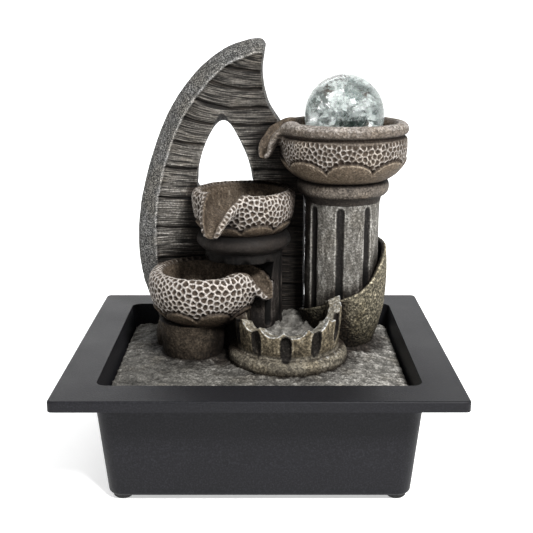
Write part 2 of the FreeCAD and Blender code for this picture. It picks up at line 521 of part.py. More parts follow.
# ---------------------------------------------------------------- power inlet and inner leads
def make_inlet():
    rear_face = RIM_HALF_Y - 0.5
    low_block = box(INLET_X - INLET_HALF, INLET_X + INLET_HALF, DECK_HALF_Y - 7.4, DECK_HALF_Y + 0.8,
                    50.0, 66.4)
    tongue = box(INLET_X - INLET_HALF, INLET_X + INLET_HALF, DECK_HALF_Y, rear_face, 55.4, 66.4)
    socket_z = 61.0
    socket = Part.makeCylinder(3.9, 11.0, Vector(INLET_X, rear_face - 11.0, socket_z), Vector(0, 1, 0))
    keep("inlet_block", low_block.fuse(tongue).cut(socket))
    sleeve = socket.cut(Part.makeCylinder(3.1, 10.0, Vector(INLET_X, rear_face - 10.0, socket_z),
                                          Vector(0, 1, 0)))
    pin_hole = Part.makeCylinder(1.0, 9.0, Vector(INLET_X, rear_face - 11.0, socket_z), Vector(0, 1, 0))
    keep("inlet_sleeve", sleeve.cut(pin_hole))
    keep("inlet_pin", pin_hole)


def make_leads():
    lamp_x, lead_y, loop_y, loop_z = INLET_X + 3.0, 64.5, 47.5, 17.0
    bend = (lead_y - loop_y) / 2
    lamp_lead = [(lamp_x, 38.0, 156.0), (lamp_x, 38.0, 50.0), (lamp_x, loop_y, 40.0),
                 (lamp_x, loop_y, loop_z), (lamp_x, lead_y, loop_z), (lamp_x, lead_y, 50.0)]
    keep("lamp_lead", tube(lamp_lead, [15.0, 15.0, bend, bend], LEAD_R))
    pump_x = INLET_X - 3.0
    pump_lead = [(30.0, PUMP_Y1 - 3, 18.0), (30.0, 60.0, 18.0), (pump_x, lead_y, 20.0),
                 (pump_x, lead_y, 50.0)]
    keep("pump_lead", tube(pump_lead, [9.0, 9.0], LEAD_R))


def main():
    make_basin()
    make_feet()
    make_columns()
    filled_bowls = make_bowls()
    make_fin(filled_bowls)
    make_horn()
    make_pool(filled_bowls[2])
    make_plinth()
    make_deck()
    make_ball_and_lamp()
    make_pump()
    make_strainer()
    make_inlet()
    make_leads()
    for name, shape in nodes.items():
        shape.exportStep(os.path.join("parts", name + ".step"))
        size = shape.BoundBox
        print("%-18s solids %d valid %s volume %9.1f  x %.1f..%.1f y %.1f..%.1f z %.1f..%.1f"
              % (name, len(shape.Solids), shape.isValid(), shape.Volume, size.XMin, size.XMax,
                 size.YMin, size.YMax, size.ZMin, size.ZMax))


main()
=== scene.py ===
"""Looks of the tabletop fountain: carved castings, crackled glass ball, moulded basin, pump and leads.

Lengths in the shape code are millimetres; they become metres when a mesh is made.  Each casting is
a distance field (negative inside), turned into a mesh and then carved along its normals.
"""
import math
import bpy
import numpy as np
import openvdb
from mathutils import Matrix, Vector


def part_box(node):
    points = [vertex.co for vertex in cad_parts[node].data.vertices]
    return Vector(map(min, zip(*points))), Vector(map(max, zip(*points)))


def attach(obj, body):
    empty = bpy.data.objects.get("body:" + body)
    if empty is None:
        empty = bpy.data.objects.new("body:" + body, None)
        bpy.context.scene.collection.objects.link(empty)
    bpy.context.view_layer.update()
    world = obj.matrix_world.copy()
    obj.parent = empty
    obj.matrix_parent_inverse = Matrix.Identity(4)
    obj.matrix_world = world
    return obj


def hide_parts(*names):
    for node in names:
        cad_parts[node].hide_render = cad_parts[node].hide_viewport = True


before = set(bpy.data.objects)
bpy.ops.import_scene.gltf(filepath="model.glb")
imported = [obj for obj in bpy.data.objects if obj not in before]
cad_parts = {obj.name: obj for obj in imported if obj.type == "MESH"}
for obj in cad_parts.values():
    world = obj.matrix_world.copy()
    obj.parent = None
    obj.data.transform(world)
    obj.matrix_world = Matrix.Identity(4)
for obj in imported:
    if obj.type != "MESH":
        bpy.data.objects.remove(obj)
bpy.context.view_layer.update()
MM = 0.001
FINE = 0.5                                    # cell of the distance fields in a full run
VOXEL = FINE
BORE_R = 15.2                                 # channel for the hose up the tall column
MAIN_R, MID_R, GROOVE_R = 22.3, 23.2, 3.3     # fluted columns and their grooves


# ---------------------------------------------------------------- places read from the frame
def corners(node):
    low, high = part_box(node)
    return np.array(low) / MM, np.array(high) / MM


def middle(node):
    low, high = corners(node)
    return (low + high) / 2


MAIN = middle("main_capital")[:2]
MID = middle("middle_collar")[:2]
LOW = np.array([corners("lower_bowl")[0][0], corners("lower_bowl")[1][1]]) + (31.8, -31.8)
PEDESTAL = np.array([corners("lower_pedestal")[0][0], corners("lower_pedestal")[0][1]]) + (19.5, 19.5)
POOL = np.array([corners("front_pool")[0][0], corners("front_pool")[0][1]]) + (34.8, 34.8)
BALL = middle("glass_ball")
BALL_R = (corners("glass_ball")[1][2] - corners("glass_ball")[0][2]) / 2
DECK_LOW, DECK_HIGH = corners("deck_casting")
FIN_LOW, FIN_HIGH = corners("crescent_fin")


# ---------------------------------------------------------------- noise
def lattice(i, j, k, seed):
    """Repeatable value in 0..1 for each whole-number place."""
    h = (i.astype(np.int64) * 374761393 + j.astype(np.int64) * 668265263
         + k.astype(np.int64) * 2147483647 + seed * 144665) & 0xFFFFFFFF
    h = ((h ^ (h >> 13)) * 1274126177) & 0xFFFFFFFF
    h = ((h ^ (h >> 16)) * 2246822519) & 0xFFFFFFFF
    return ((h ^ (h >> 15)) & 0xFFFFFF) / float(0x1000000)


def noise(x, y, z, seed=0):
    """Smooth noise in -1..1 with cells of size 1."""
    x, y, z = np.broadcast_arrays(x, y, z)
    i, j, k = np.floor(x), np.floor(y), np.floor(z)
    u, v, w = [t * t * (3 - 2 * t) for t in (x - i, y - j, z - k)]
    total = 0.0
    for a in (0, 1):
        for b in (0, 1):
            for c in (0, 1):
                weight = (u if a else 1 - u) * (v if b else 1 - v) * (w if c else 1 - w)
                total = total + weight * lattice(i + a, j + b, k + c, seed)
    return total * 2 - 1


def fbm(x, y, z, octaves=3, seed=0):
    total, gain, scale = 0.0, 0.5, 1.0
    for n in range(octaves):
        total = total + gain * noise(x * scale, y * scale, z * scale, seed + n)
        gain, scale = gain / 2, scale * 2.03
    return total


def step(low, high, value):
    """Smooth step from 0 at low to 1 at high."""
    t = np.clip((value - low) / (high - low), 0, 1)
    return t * t * (3 - 2 * t)


def bell(value, width):
    """1 at zero, falling away smoothly on both sides."""
    return np.exp(-(value / width) ** 2)


def specks(x, y, z, seed):
    """Nearest and next distance to scattered points, one to a unit cell."""
    i, j, k = np.floor(x), np.floor(y), np.floor(z)
    first = np.full(np.shape(x), 9.0)
    second = first.copy()
    for a in (-1, 0, 1):
        for b in (-1, 0, 1):
            for c in (-1, 0, 1):
                p, q, r = i + a, j + b, k + c
                d = np.sqrt((p + lattice(p, q, r, seed) - x) ** 2 + (q + lattice(p, q, r, seed + 3) - y) ** 2
                            + (r + lattice(p, q, r, seed + 5) - z) ** 2)
                second = np.minimum(second, np.maximum(first, d))
                first = np.minimum(first, d)
    return first, second


# ---------------------------------------------------------------- distance fields
def join(a, b, blend):
    """Union of two fields with a rounded inner corner."""
    h = np.clip(0.5 + 0.5 * (b - a) / blend, 0, 1)
    return b + (a - b) * h - blend * h * (1 - h)


def cut(a, b, blend):
    """Field a without field b, with a rounded edge."""
    return -join(-a, b, blend)


def smooth_path(points, per_span=8):
    """Points along a Catmull-Rom curve through the given ones."""
    p = np.array(points, float)
    p = np.vstack([2 * p[0] - p[1], p, 2 * p[-1] - p[-2]])
    out = []
    for k in range(1, len(p) - 2):
        for t in np.arange(per_span) / per_span:
            out.append(0.5 * (2 * p[k] + (p[k + 1] - p[k - 1]) * t
                    + (2 * p[k - 1] - 5 * p[k] + 4 * p[k + 1] - p[k + 2]) * t ** 2
                    + (3 * p[k] - p[k - 1] - 3 * p[k + 1] + p[k + 2]) * t ** 3))
    out.append(p[-2])
    return np.array(out)


class Outline:
    """Signed distance to a closed outline in a plane, read from a table."""

    def __init__(self, points, cell=0.25, margin=14.0):
        p = np.array(points, float)
        self.low, self.cell = p.min(0) - margin, cell
        count = np.ceil((p.max(0) + margin - self.low) / cell).astype(int) + 2
        a = (self.low[0] + cell * np.arange(count[0]))[:, None]
        b = (self.low[1] + cell * np.arange(count[1]))[None, :]
        best = np.full((count[0], count[1]), 1e9)
        inside = np.zeros(best.shape, bool)
        for (ax, ay), (bx, by) in zip(p, np.roll(p, -1, 0)):
            length = (bx - ax) ** 2 + (by - ay) ** 2
            if length < 1e-12:
                continue
            t = np.clip(((a - ax) * (bx - ax) + (b - ay) * (by - ay)) / length, 0, 1)
            best = np.minimum(best, (a - ax - t * (bx - ax)) ** 2 + (b - ay - t * (by - ay)) ** 2)
            if ay != by:
                inside ^= ((ay > b) != (by > b)) & (a < (bx - ax) * (b - ay) / (by - ay) + ax)
        self.table = np.where(inside, -1, 1) * np.sqrt(best)

    def __call__(self, a, b):
        a, b = np.broadcast_arrays(a, b)
        fa = np.clip((a - self.low[0]) / self.cell, 0, self.table.shape[0] - 1.001)
        fb = np.clip((b - self.low[1]) / self.cell, 0, self.table.shape[1] - 1.001)
        i, j = fa.astype(int), fb.astype(int)
        u, v = fa - i, fb - j
        t = self.table
        return ((t[i, j] * (1 - u) + t[i + 1, j] * u) * (1 - v)
                + (t[i, j + 1] * (1 - u) + t[i + 1, j + 1] * u) * v)


def from_axis(x, y, axis):
    return np.hypot(x - axis[0], y - axis[1])


def lathe(profile, axis):
    """Field of a turned solid; profile is its half section as (radius, z) from axis to axis."""
    past_axis = [(-r - 0.01, z) for r, z in (profile[-1], profile[0])]
    closed = list(profile) + past_axis
    half = Outline(closed)
    return lambda x, y, z: half(from_axis(x, y, axis), z)


def trough(path, widths, depths, wall):
    """Fields of a pouring lip along path: its body, cut off level, and the open channel in it."""
    spine = smooth_path([list(p) + [w, d] for p, w, d in zip(path, widths, depths)], 7)
    past_tip = spine[-1] + (spine[-1] - spine[-2]) * 3
    spine = np.vstack([spine, past_tip])
    centres = spine[:, :3]
    along = np.gradient(centres, axis=0)
    along /= np.linalg.norm(along, axis=1)[:, None]
    up = np.array([0, 0, 1.0]) - along * along[:, 2:3]
    up /= np.linalg.norm(up, axis=1)[:, None]
    across = np.cross(along, up)
    stations = list(zip(centres, spine[:, 3], spine[:, 4], along, up, across))

    def parts(x, y, z, station):
        c, axes = station[0], station[3:]
        return [(x - c[0]) * n[0] + (y - c[1]) * n[1] + (z - c[2]) * n[2] for n in axes]

    def body(x, y, z):
        best = 1e3
        for station in stations[:-1]:
            a, h, q = parts(x, y, z, station)
            width, depth = station[1:3]
            d = np.sqrt(a ** 2 + h ** 2 + (q * depth / width) ** 2) - depth - wall
            best = np.minimum(best, cut(d, 0.30 * depth - h, 1.5))
        return best

    def channel(x, y, z):
        best = 1e3
        for station in stations:
            a, h, q = parts(x, y, z, station)
            width, depth = station[1:3]
            d = np.sqrt(a ** 2 + np.minimum(h, 0) ** 2 + (q * depth / width) ** 2) - depth
            best = np.minimum(best, d)
        return best

    return body, channel


# ---------------------------------------------------------------- meshes
def mesh_normals(points, quads):
    a, b, c, d = [points[quads[:, k]] for k in range(4)]
    face = np.cross(c - a, d - b)
    out = np.zeros_like(points)
    for axis in range(3):
        for k in range(4):
            out[:, axis] += np.bincount(quads[:, k], face[:, axis], len(points))
    return out / np.maximum(np.linalg.norm(out, axis=1), 1e-12)[:, None]


def as_mesh(name, points, quads, values=None):
    """Mesh object in metres from points in millimetres, with per-point values as attributes."""
    mesh = bpy.data.meshes.new(name)
    mesh.vertices.add(len(points))
    mesh.vertices.foreach_set("co", (points * MM).astype(np.float32).ravel())
    mesh.loops.add(quads.size)
    mesh.loops.foreach_set("vertex_index", quads.astype(np.int32).ravel())
    mesh.polygons.add(len(quads))
    mesh.polygons.foreach_set("loop_start", np.arange(0, quads.size, quads.shape[1], dtype=np.int32))
    mesh.update(calc_edges=True)
    mesh.validate()
    for label, value in (values or {}).items():
        layer = mesh.attributes.new(label, "FLOAT", "POINT")
        layer.data.foreach_set("value", np.ascontiguousarray(value, dtype=np.float32))
    mesh.polygons.foreach_set("use_smooth", np.ones(len(mesh.polygons), bool))
    obj = bpy.data.objects.new(name, mesh)
    bpy.context.scene.collection.objects.link(obj)
    return obj


def largest_shell(points, quads):
    """Drops loose crumbs: keeps only the quads of the biggest connected shell."""
    label = np.arange(len(points))
    while True:
        low = label[quads].min(1)
        new = label.copy()
        for k in range(4):
            np.minimum.at(new, quads[:, k], low)
        new = new[new]
        if (new == label).all():
            break
        label = new
    owner = label[quads[:, 0]]
    names, counts = np.unique(owner, return_counts=True)
    quads = quads[owner == names[counts.argmax()]]
    used = np.unique(quads)
    index = np.full(len(points), -1)
    index[used] = np.arange(len(used))
    return points[used], index[quads]


def solidify(name, field, low, high, cell=VOXEL, carve=None):
    """Mesh of a field inside a box.  carve(x, y, z, normals) gives a height and attribute values."""
    cell = np.ones(3) * cell
    low = np.array(low, float)
    count = np.ceil((np.array(high, float) - low) / cell).astype(int) + 1
    x = (low[0] + cell[0] * np.arange(count[0]))[:, None, None]
    y = (low[1] + cell[1] * np.arange(count[1]))[None, :, None]
    z = (low[2] + cell[2] * np.arange(count[2]))[None, None, :]
    values = np.broadcast_to(field(x, y, z), tuple(count)).astype(np.float32)
    for side in (0, -1):
        values[side], values[:, side], values[:, :, side] = 1.0, 1.0, 1.0
    grid = openvdb.FloatGrid(background=3.0)
    grid.copyFromArray(np.clip(values, -3, 3))
    points, quads = grid.convertToQuads(0.0)
    points = points.astype(float) * cell + low
    quads = quads.astype(np.int64)
    points, quads = largest_shell(points, quads)
    normals = mesh_normals(points, quads)
    centre = points.mean(0)
    if np.einsum("ij,ij->", points[quads[:, 0]] - centre,
            np.cross(points[quads[:, 2]] - points[quads[:, 0]],
            points[quads[:, 3]] - points[quads[:, 1]])) < 0:
        quads, normals = quads[:, ::-1], -normals
    stored = {}
    if carve:
        height, stored = carve(points[:, 0], points[:, 1], points[:, 2], normals)
        points = points + normals * np.reshape(height, (-1, 1))
    return as_mesh(name, points, quads, stored)


# ---------------------------------------------------------------- materials
OCHRE = (1.15, 0.92, 0.55)                    # what the ochre wash multiplies a stone colour by
WASH_AND_SHADE = (0.13, 0.11, 0.10)                      # and what the dark wash and the painted shade in recesses do


def new_material(name):
    material = bpy.data.materials.new(name)
    material.use_nodes = True
    tree = material.node_tree
    tree.nodes.clear()
    shader = tree.nodes.new("ShaderNodeBsdfPrincipled")
    output = tree.nodes.new("ShaderNodeOutputMaterial")
    tree.links.new(shader.outputs[0], output.inputs[0])
    return material, tree, shader


def shader_and_base(tree):
    """The main shader of a finish, and the socket its colour comes from."""
    shader = next(n for n in tree.nodes if n.type == "BSDF_PRINCIPLED")
    return shader, shader.inputs["Base Color"].links[0].from_socket


def attribute_node(tree, name):
    """A value stored on the mesh's points."""
    node = tree.nodes.new("ShaderNodeAttribute")
    node.attribute_name = name
    return node.outputs["Fac"]


def even(value):
    """Grey of one value."""
    return (value,) * 3


def noise_node(tree, scale, detail=4.0, roughness=0.55, stretch=(1, 1, 1)):
    where = tree.nodes.new("ShaderNodeTexCoord")
    mapping = tree.nodes.new("ShaderNodeMapping")
    mapping.inputs["Scale"].default_value = stretch
    texture = tree.nodes.new("ShaderNodeTexNoise")
    texture.inputs["Scale"].default_value = scale
    texture.inputs["Detail"].default_value = detail
    texture.inputs["Roughness"].default_value = roughness
    tree.links.new(where.outputs["Object"], mapping.inputs["Vector"])
    tree.links.new(mapping.outputs[0], texture.inputs["Vector"])
    return texture


def ramp_node(tree, source, stops):
    ramp = tree.nodes.new("ShaderNodeValToRGB")
    while len(ramp.color_ramp.elements) < len(stops):
        ramp.color_ramp.elements.new(0.5)
    for element, (place, colour) in zip(ramp.color_ramp.elements, stops):
        element.position = place
        element.color = (*colour, 1) if len(colour) == 3 else colour
    tree.links.new(source, ramp.inputs[0])
    return ramp


def bump_node(tree, height, strength, distance):
    bump = tree.nodes.new("ShaderNodeBump")
    bump.inputs["Strength"].default_value = strength
    bump.inputs["Distance"].default_value = distance
    tree.links.new(height, bump.inputs["Height"])
    return bump


def math_node(tree, operation, a, b):
    node = tree.nodes.new("ShaderNodeMath")
    node.operation = operation
    for socket, value in zip(node.inputs, (a, b)):
        if isinstance(value, (int, float)):
            socket.default_value = value
        else:
            tree.links.new(value, socket)
    return node.outputs[0]


def mix_node(tree, factor, a, b, blend="MIX"):
    node = tree.nodes.new("ShaderNodeMix")
    node.data_type = "RGBA"
    node.blend_type = blend
    for socket, value in ((node.inputs[0], factor), (node.inputs[6], a), (node.inputs[7], b)):
        if isinstance(value, (int, float)):
            socket.default_value = value
        elif isinstance(value, tuple):
            socket.default_value = (*value, 1)
        else:
            tree.links.new(value, socket)
    return node.outputs[2]


def cast_stone(name, recess, body, ridge, ochre_amount, mottle):
    """Dark-washed, dry-brushed resin: colour follows the carved relief and the ochre wash.  The relief values
    also carry painted highlights and painted shade, and the stored dark wash darkens recesses as dark wash
    and painted shade.
    """
    material, tree, shader = new_material(name)
    relief = attribute_node(tree, "relief")
    wash = attribute_node(tree, "wash")
    grain = noise_node(tree, 900.0, 5.0, 0.7)
    patches = noise_node(tree, mottle, 3.0, 0.6)
    tint = noise_node(tree, 70.0, 2.0, 0.5)
    uneven = math_node(tree, "MULTIPLY_ADD", patches.outputs[0], 0.34)
    uneven.node.inputs[2].default_value = -0.17
    fine = math_node(tree, "MULTIPLY_ADD", grain.outputs[0], 0.9)
    fine.node.inputs[2].default_value = -0.45
    level = math_node(tree, "ADD", relief, uneven)
    level = math_node(tree, "ADD", level, fine)
    between = tuple(0.55 * r + 0.45 * b for r, b in zip(recess, body))
    brightest = tuple(1.25 * c for c in ridge)
    stops = [(0.0, recess), (0.30, between), (0.55, body), (0.80, ridge), (1.0, brightest)]
    base = ramp_node(tree, level, stops)
    warm = ramp_node(tree, tint.outputs[0], [(0.42, (0, 0, 0)), (0.68, (1, 1, 1))])
    amount = math_node(tree, "MULTIPLY", warm.outputs[0], ochre_amount)
    amount = math_node(tree, "MAXIMUM", amount, wash)
    tinted = mix_node(tree, amount, base.outputs[0],
            mix_node(tree, 1.0, base.outputs[0], OCHRE, "MULTIPLY"))
    # dark wash and painted shade in the recesses
    wash_and_shade = attribute_node(tree, "wash_and_shade")
    washed_and_shaded = mix_node(tree, 1.0, tinted, WASH_AND_SHADE, "MULTIPLY")
    tree.links.new(mix_node(tree, wash_and_shade, tinted, washed_and_shaded), shader.inputs["Base Color"])
    rough = ramp_node(tree, patches.outputs[0], [(0.3, even(0.60)), (0.7, even(0.85))])
    tree.links.new(rough.outputs[0], shader.inputs["Roughness"])
    shader.inputs["Specular IOR Level"].default_value = 0.16
    bump = bump_node(tree, grain.outputs[0], 0.55, 0.0004)
    tree.links.new(bump.outputs[0], shader.inputs["Normal"])
    return material


def moulded_plastic(name, colour, roughness=0.42, scale=1500.0, grain=0.12, gloss=0.4):
    material, tree, shader = new_material(name)
    shader.inputs["Specular IOR Level"].default_value = gloss
    texture = noise_node(tree, scale, 3.0, 0.6)
    cloud = noise_node(tree, 22.0, 3.0, 0.5)
    colours = ramp_node(tree, cloud.outputs[0], [(0.3, tuple(c * 0.9 for c in colour)),
            (0.7, tuple(c * 1.12 for c in colour))])
    specks = ramp_node(tree, texture.outputs[0], [(0.36, even(0.75)), (0.52, even(1.0)), (0.66, even(1.7))])
    tree.links.new(mix_node(tree, 1.0, colours.outputs[0], specks.outputs[0], "MULTIPLY"),
              shader.inputs["Base Color"])
    rough = ramp_node(tree, cloud.outputs[0], [(0.3, even(roughness - 0.04)),
            (0.7, even(roughness + 0.05))])
    tree.links.new(rough.outputs[0], shader.inputs["Roughness"])
    bump = bump_node(tree, texture.outputs[0], grain, 0.0003)
    tree.links.new(bump.outputs[0], shader.inputs["Normal"])
    return material


def metal(name, colour, roughness, stretch=(1, 1, 12)):
    material, tree, shader = new_material(name)
    texture = noise_node(tree, 700.0, 3.0, 0.6, stretch)
    colours = ramp_node(tree, texture.outputs[0], [(0.3, tuple(c * 0.8 for c in colour)), (0.7, colour)])
    tree.links.new(colours.outputs[0], shader.inputs["Base Color"])
    rough = ramp_node(tree, texture.outputs[0], [(0.3, even(roughness)), (0.7, even(roughness + 0.15))])
    tree.links.new(rough.outputs[0], shader.inputs["Roughness"])
    shader.inputs["Metallic"].default_value = 1.0
    return material


def clear(name, colour, roughness=0.05, ior=1.45):
    material, tree, shader = new_material(name)
    texture = noise_node(tree, 60.0, 2.0, 0.5)
    colours = ramp_node(tree, texture.outputs[0], [(0.3, tuple(c * 0.96 for c in colour)), (0.7, colour)])
    tree.links.new(colours.outputs[0], shader.inputs["Base Color"])
    shader.inputs["Roughness"].default_value = roughness
    shader.inputs["IOR"].default_value = ior
    shader.inputs["Transmission Weight"].default_value = 1.0
    return material


def dress(obj, material):
    obj.data.materials.clear()
    obj.data.materials.append(material)


def place(obj, body, node, slot_name, material):
    """Gives a detailed piece its body and its finish, and hides the CAD node it stands for; slot_name is not
    used.
    """
    dress(obj, material)
    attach(obj, body)
    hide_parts(node)


# ---------------------------------------------------------------- carving
def around_axis(x, y, axis):
    """Distance from an upright axis, and angle from the front, positive to the right."""
    return from_axis(x, y, axis), np.arctan2(x - axis[0], axis[1] - y)


def outwardness(x, y, normals, axis):
    """How far a point's normal leans away from an upright axis."""
    lean = normals[:, 0] * (x - axis[0]) + normals[:, 1] * (y - axis[1])
    return lean / np.maximum(from_axis(x, y, axis), 1)


def fold(angle, count, first):
    """Angle from the nearest of count even places, and that place's number."""
    pitch = 2 * math.pi / count
    n = np.round((angle - math.radians(first)) / pitch)
    return angle - math.radians(first) - n * pitch, np.mod(n, count)


def honeycomb(x, y, z, normals, where, pitch, cell=VOXEL, seed=3, rounds=9):
    """Even, slightly irregular cells spread over part of a surface: nearest and next distance."""
    index = np.flatnonzero(where)
    points = np.stack([x, y, z], 1)[index]
    area = (np.mean(cell) ** 2 / np.abs(normals[index]).sum(1)).sum()
    count = max(int(area / (0.866 * pitch ** 2)), 8)
    order = np.argsort(lattice(index, index * 0, index * 0, seed))
    seeds = points[order[:count]].copy()

    def measure():
        near, first, second = [], [], []
        for start in range(0, len(points), 6000):
            p = points[start:start + 6000]
            d = (p ** 2).sum(1)[:, None] - 2 * p @ seeds.T + (seeds ** 2).sum(1)
            at = d.argmin(1)
            near.append(at)
            first.append(d[np.arange(len(p)), at].copy())
            d[np.arange(len(p)), at] = 1e9
            second.append(d.min(1))
        return np.concatenate(near), np.concatenate(first), np.concatenate(second)

    for _ in range(rounds):
        near = measure()[0]
        total = np.maximum(np.bincount(near, minlength=count), 1)
        for k in range(3):
            seeds[:, k] = np.bincount(near, points[:, k], count) / total
    _, first, second = measure()
    f1, f2 = np.full(len(x), 0.0), np.full(len(x), pitch)
    f1[index], f2[index] = np.sqrt(np.maximum(first, 0)), np.sqrt(np.maximum(second, 0))
    return f1, f2


def shades(x, relief, wash, inner=0.0):
    """Values that the finishes read, one to a point."""
    return {"relief": relief, "wash": wash + 0 * x, "inner": inner + 0 * x}


def rough(x, y, z, size=6.0, seed=11):
    return fbm(x / size, y / size, z / size, 3, seed)


def petal_edge(angle, count, first, low, rise):
    """Height of a scalloped line of round petals."""
    off, _ = fold(angle, count, first)
    across = np.abs(off) * count / math.pi
    return low + rise * np.sqrt(np.clip(1 - (across * 0.97) ** 2, 0, 1))


def carve_bowl(axis, radius, hollow, low, high, petals, dimple, seed, painted_light, plain_spout=False):
    """Carving of a bowl: honeycomb between the petals and the rim, petals below, plain inside."""
    count, first, petal_low, petal_rise = petals

    def carve(x, y, z, normals):
        r, angle = around_axis(x, y, axis)
        edge = petal_edge(angle, count, first, petal_low, petal_rise)
        depth_in = hollow(x, y, z)
        outside = step(0.7, 2.2, depth_in) * (r > 12)
        rear = step(-4, 12, y - axis[1]) * (1 - step(1.5, 3.0, r - radius))
        spout = step(1.5, 3.0, r - radius)
        wander = 0.8 * noise(x / 9, y / 9, z / 9, seed)
        band = outside * step(-0.4, 0.8, z - edge) * step(0, 1.2, high + wander - z) * (z > low)
        band = band * (1 - spout) if plain_spout else np.maximum(band, outside * spout)
        f1, f2 = honeycomb(x, y, z, normals, band > 0.02, dimple, seed=seed)
        gap = f2 - f1
        hole = step(0.18 * dimple, 0.56 * dimple, gap) * band
        height = -0.30 * dimple * hole * (0.6 + 0.4 * step(0.4, 1.0, f2 / dimple)) + 0.10 * band
        below = outside * (1 - spout) * (z < edge + 3)
        petal = below * step(-0.15, 0.35, edge - z)
        groove = below * bell(z - edge - 0.6, 0.6)
        height += 0.8 * petal * step(0, 9, z - petal_low + 8) - 0.75 * groove
        ridge = band * (1 - step(0.08 * dimple, 0.36 * dimple, gap))
        # Painted light: ridges of the honeycomb lighter towards the top, and the rear half darker as painted
        # shade.
        lit = painted_light * (0.30 + 0.70 * step(low, low + 22, z)) * (1 - 0.9 * rear)
        relief = 0.50 + (0.14 + 0.34 * lit) * ridge - 0.36 * hole - 0.42 * groove + 0.06 * (1 - band) * spout
        # Painted highlight: a light line along the inner edge of the lip.
        relief += 0.20 * painted_light * bell(depth_in - 1.5, 0.9) * outside
        relief += petal * (0.20 * bell(edge - z - 0.7, 0.6) - 0.05 - 0.12 * (1 - plain_spout))
        # The rear half darker: painted shade.
        relief += 0.10 * rough(x, y, z, 2.2, seed + 4) - 0.16 * rear
        inside = 1 - step(0.2, 1.2, depth_in)
        relief = relief * (1 - inside) + inside * (0.38 + 0.30 * fbm(x / 1.6, y / 1.6, z / 6, 3, seed + 5))
        # Painted shade in the groove under the top bowl's lip, and a painted highlight on the top of the lip.
        under_lip = outside * (1 - spout) * plain_spout * bell(z - high - 1.4, 0.7)
        crest = outside * plain_spout * step(high + 5.5, high + 7.5, z)
        relief += 0.16 * crest - 0.45 * under_lip
        height += 0.22 * rough(x, y, z, 6.0, seed + 6) - 0.4 * under_lip
        wash = np.where(inside > 0.5, 0.35, 0.06 + 0.35 * petal + 0.2 * hole)
        return height, shades(x, relief, wash, inside)

    return carve


# ---------------------------------------------------------------- bowls
def bowl_fields(outer, inner, axis, path, widths, depths, wall):
    """Field of a bowl with its pouring lip, and the field of the hollow in it."""
    outside, inside = lathe(outer, axis), lathe(inner, axis)
    lip, channel = trough(path, widths, depths, wall)
    hollow = lambda x, y, z: np.minimum(inside(x, y, z), channel(x, y, z))

    def field(x, y, z):
        return cut(join(outside(x, y, z), lip(x, y, z), 3.5), hollow(x, y, z), 1.2)

    return field, hollow


def lifted(profile, base):
    """Profile whose heights are given above base."""
    return [(r, z + base) for r, z in profile]


def turned(base, points, spans, low, high):
    """Smooth half section from the axis at low, out through points, and back to it at high."""
    return [(0, base + low)] + lifted(smooth_path(points, spans), base) + [(0, base + high)]


def make_top_bowl():
    low, high = corners("top_bowl")
    base = low[2]
    outer = smooth_path([(24.6, 0), (27.9, 1.8), (32.5, 6.0), (35.9, 10.8), (37.0, 16.3), (37.2, 21.8),
            (36.9, 24.6), (35.2, 25.8), (36.6, 27.0), (37.5, 28.0), (37.7, 29.6), (37.2, 31.6),
            (35.7, 33.0), (33.6, 33.6), (31.6, 33.0), (30.2, 31.6)], 5)
    outer = [(0, base - 0.3), (24.6, base - 0.3)] + lifted(outer, base) + [(29.4, base + 31), (0, base + 31)]
    inner = turned(base, [(15, 11.2), (22, 13.6), (27, 19), (29.2, 25.5), (29.6, 29), (30.0, 31.5),
            (31.0, 40)], 5, 11.2, 40)
    x, y = MAIN
    field, hollow = bowl_fields(outer, inner, MAIN, [(x - 22, y, 189.5), (x - 32, y - 0.2, 188.8),
            (x - 39.5, y - 1.6, 185.8), (x - 44.4, y - 3, 180),
            (x - 46.8, y - 4.5, 173.6)],
            [11.0, 9.5, 7.5, 5.0, 2.6], [6.5, 6.0, 5.0, 3.6, 2.2], 2.2)
    carve = carve_bowl(MAIN, 37.6, hollow, 158, base + 24.4, (8, 1.5, base + 4.6, 8.6), 3.0, 21, 0.35, True)
    return solidify("bowl_upper", field, low - 2, high + 2, carve=carve)


MID_OUTER = [(22.5, 0), (26.4, 3.4), (29.0, 8.0), (30.2, 13.5), (30.7, 18.6), (30.4, 21.6), (29.0, 23.8),
        (26.8, 24.4), (24.6, 23.0)]


def make_middle_bowl():
    low, high = corners("middle_bowl")
    base = low[2]
    outer = lifted(smooth_path(MID_OUTER, 6), base)
    outer = [(0, base - 0.3), (22.5, base - 0.3)] + outer + [(24.4, base + 21), (0, base + 21)]
    inner = turned(base, [(12, 6), (18.5, 8.5), (22.4, 13.5), (23.8, 20.5), (24.4, 28)], 6, 6, 28)
    x, y = MID
    field, hollow = bowl_fields(outer, inner, MID, [(x - 5.5, y - 12, 150.5), (x - 9.5, y - 22, 149.0),
            (x - 13, y - 31, 146), (x - 15.6, y - 37.4, 140.8),
            (x - 16.9, y - 40.6, 135.4)],
            [10.5, 9.6, 7.6, 5.2, 3.0], [8.0, 7.6, 6.4, 4.6, 2.6], 2.6)
    carve = carve_bowl(MID, 31.0, hollow, 128, base + 30, (8, 20, base + 0.6, 6.5), 3.4, 37, 0.75)
    return solidify("bowl_middle", field, low - 2, high + 2, carve=carve)


LOW_OUTER = [(20.0, 0), (25.0, 4.0), (29.2, 9.0), (31.4, 15.5), (31.9, 21.5), (31.2, 25.8), (28.8, 29.0),
        (26.0, 29.5), (23.4, 28.0)]


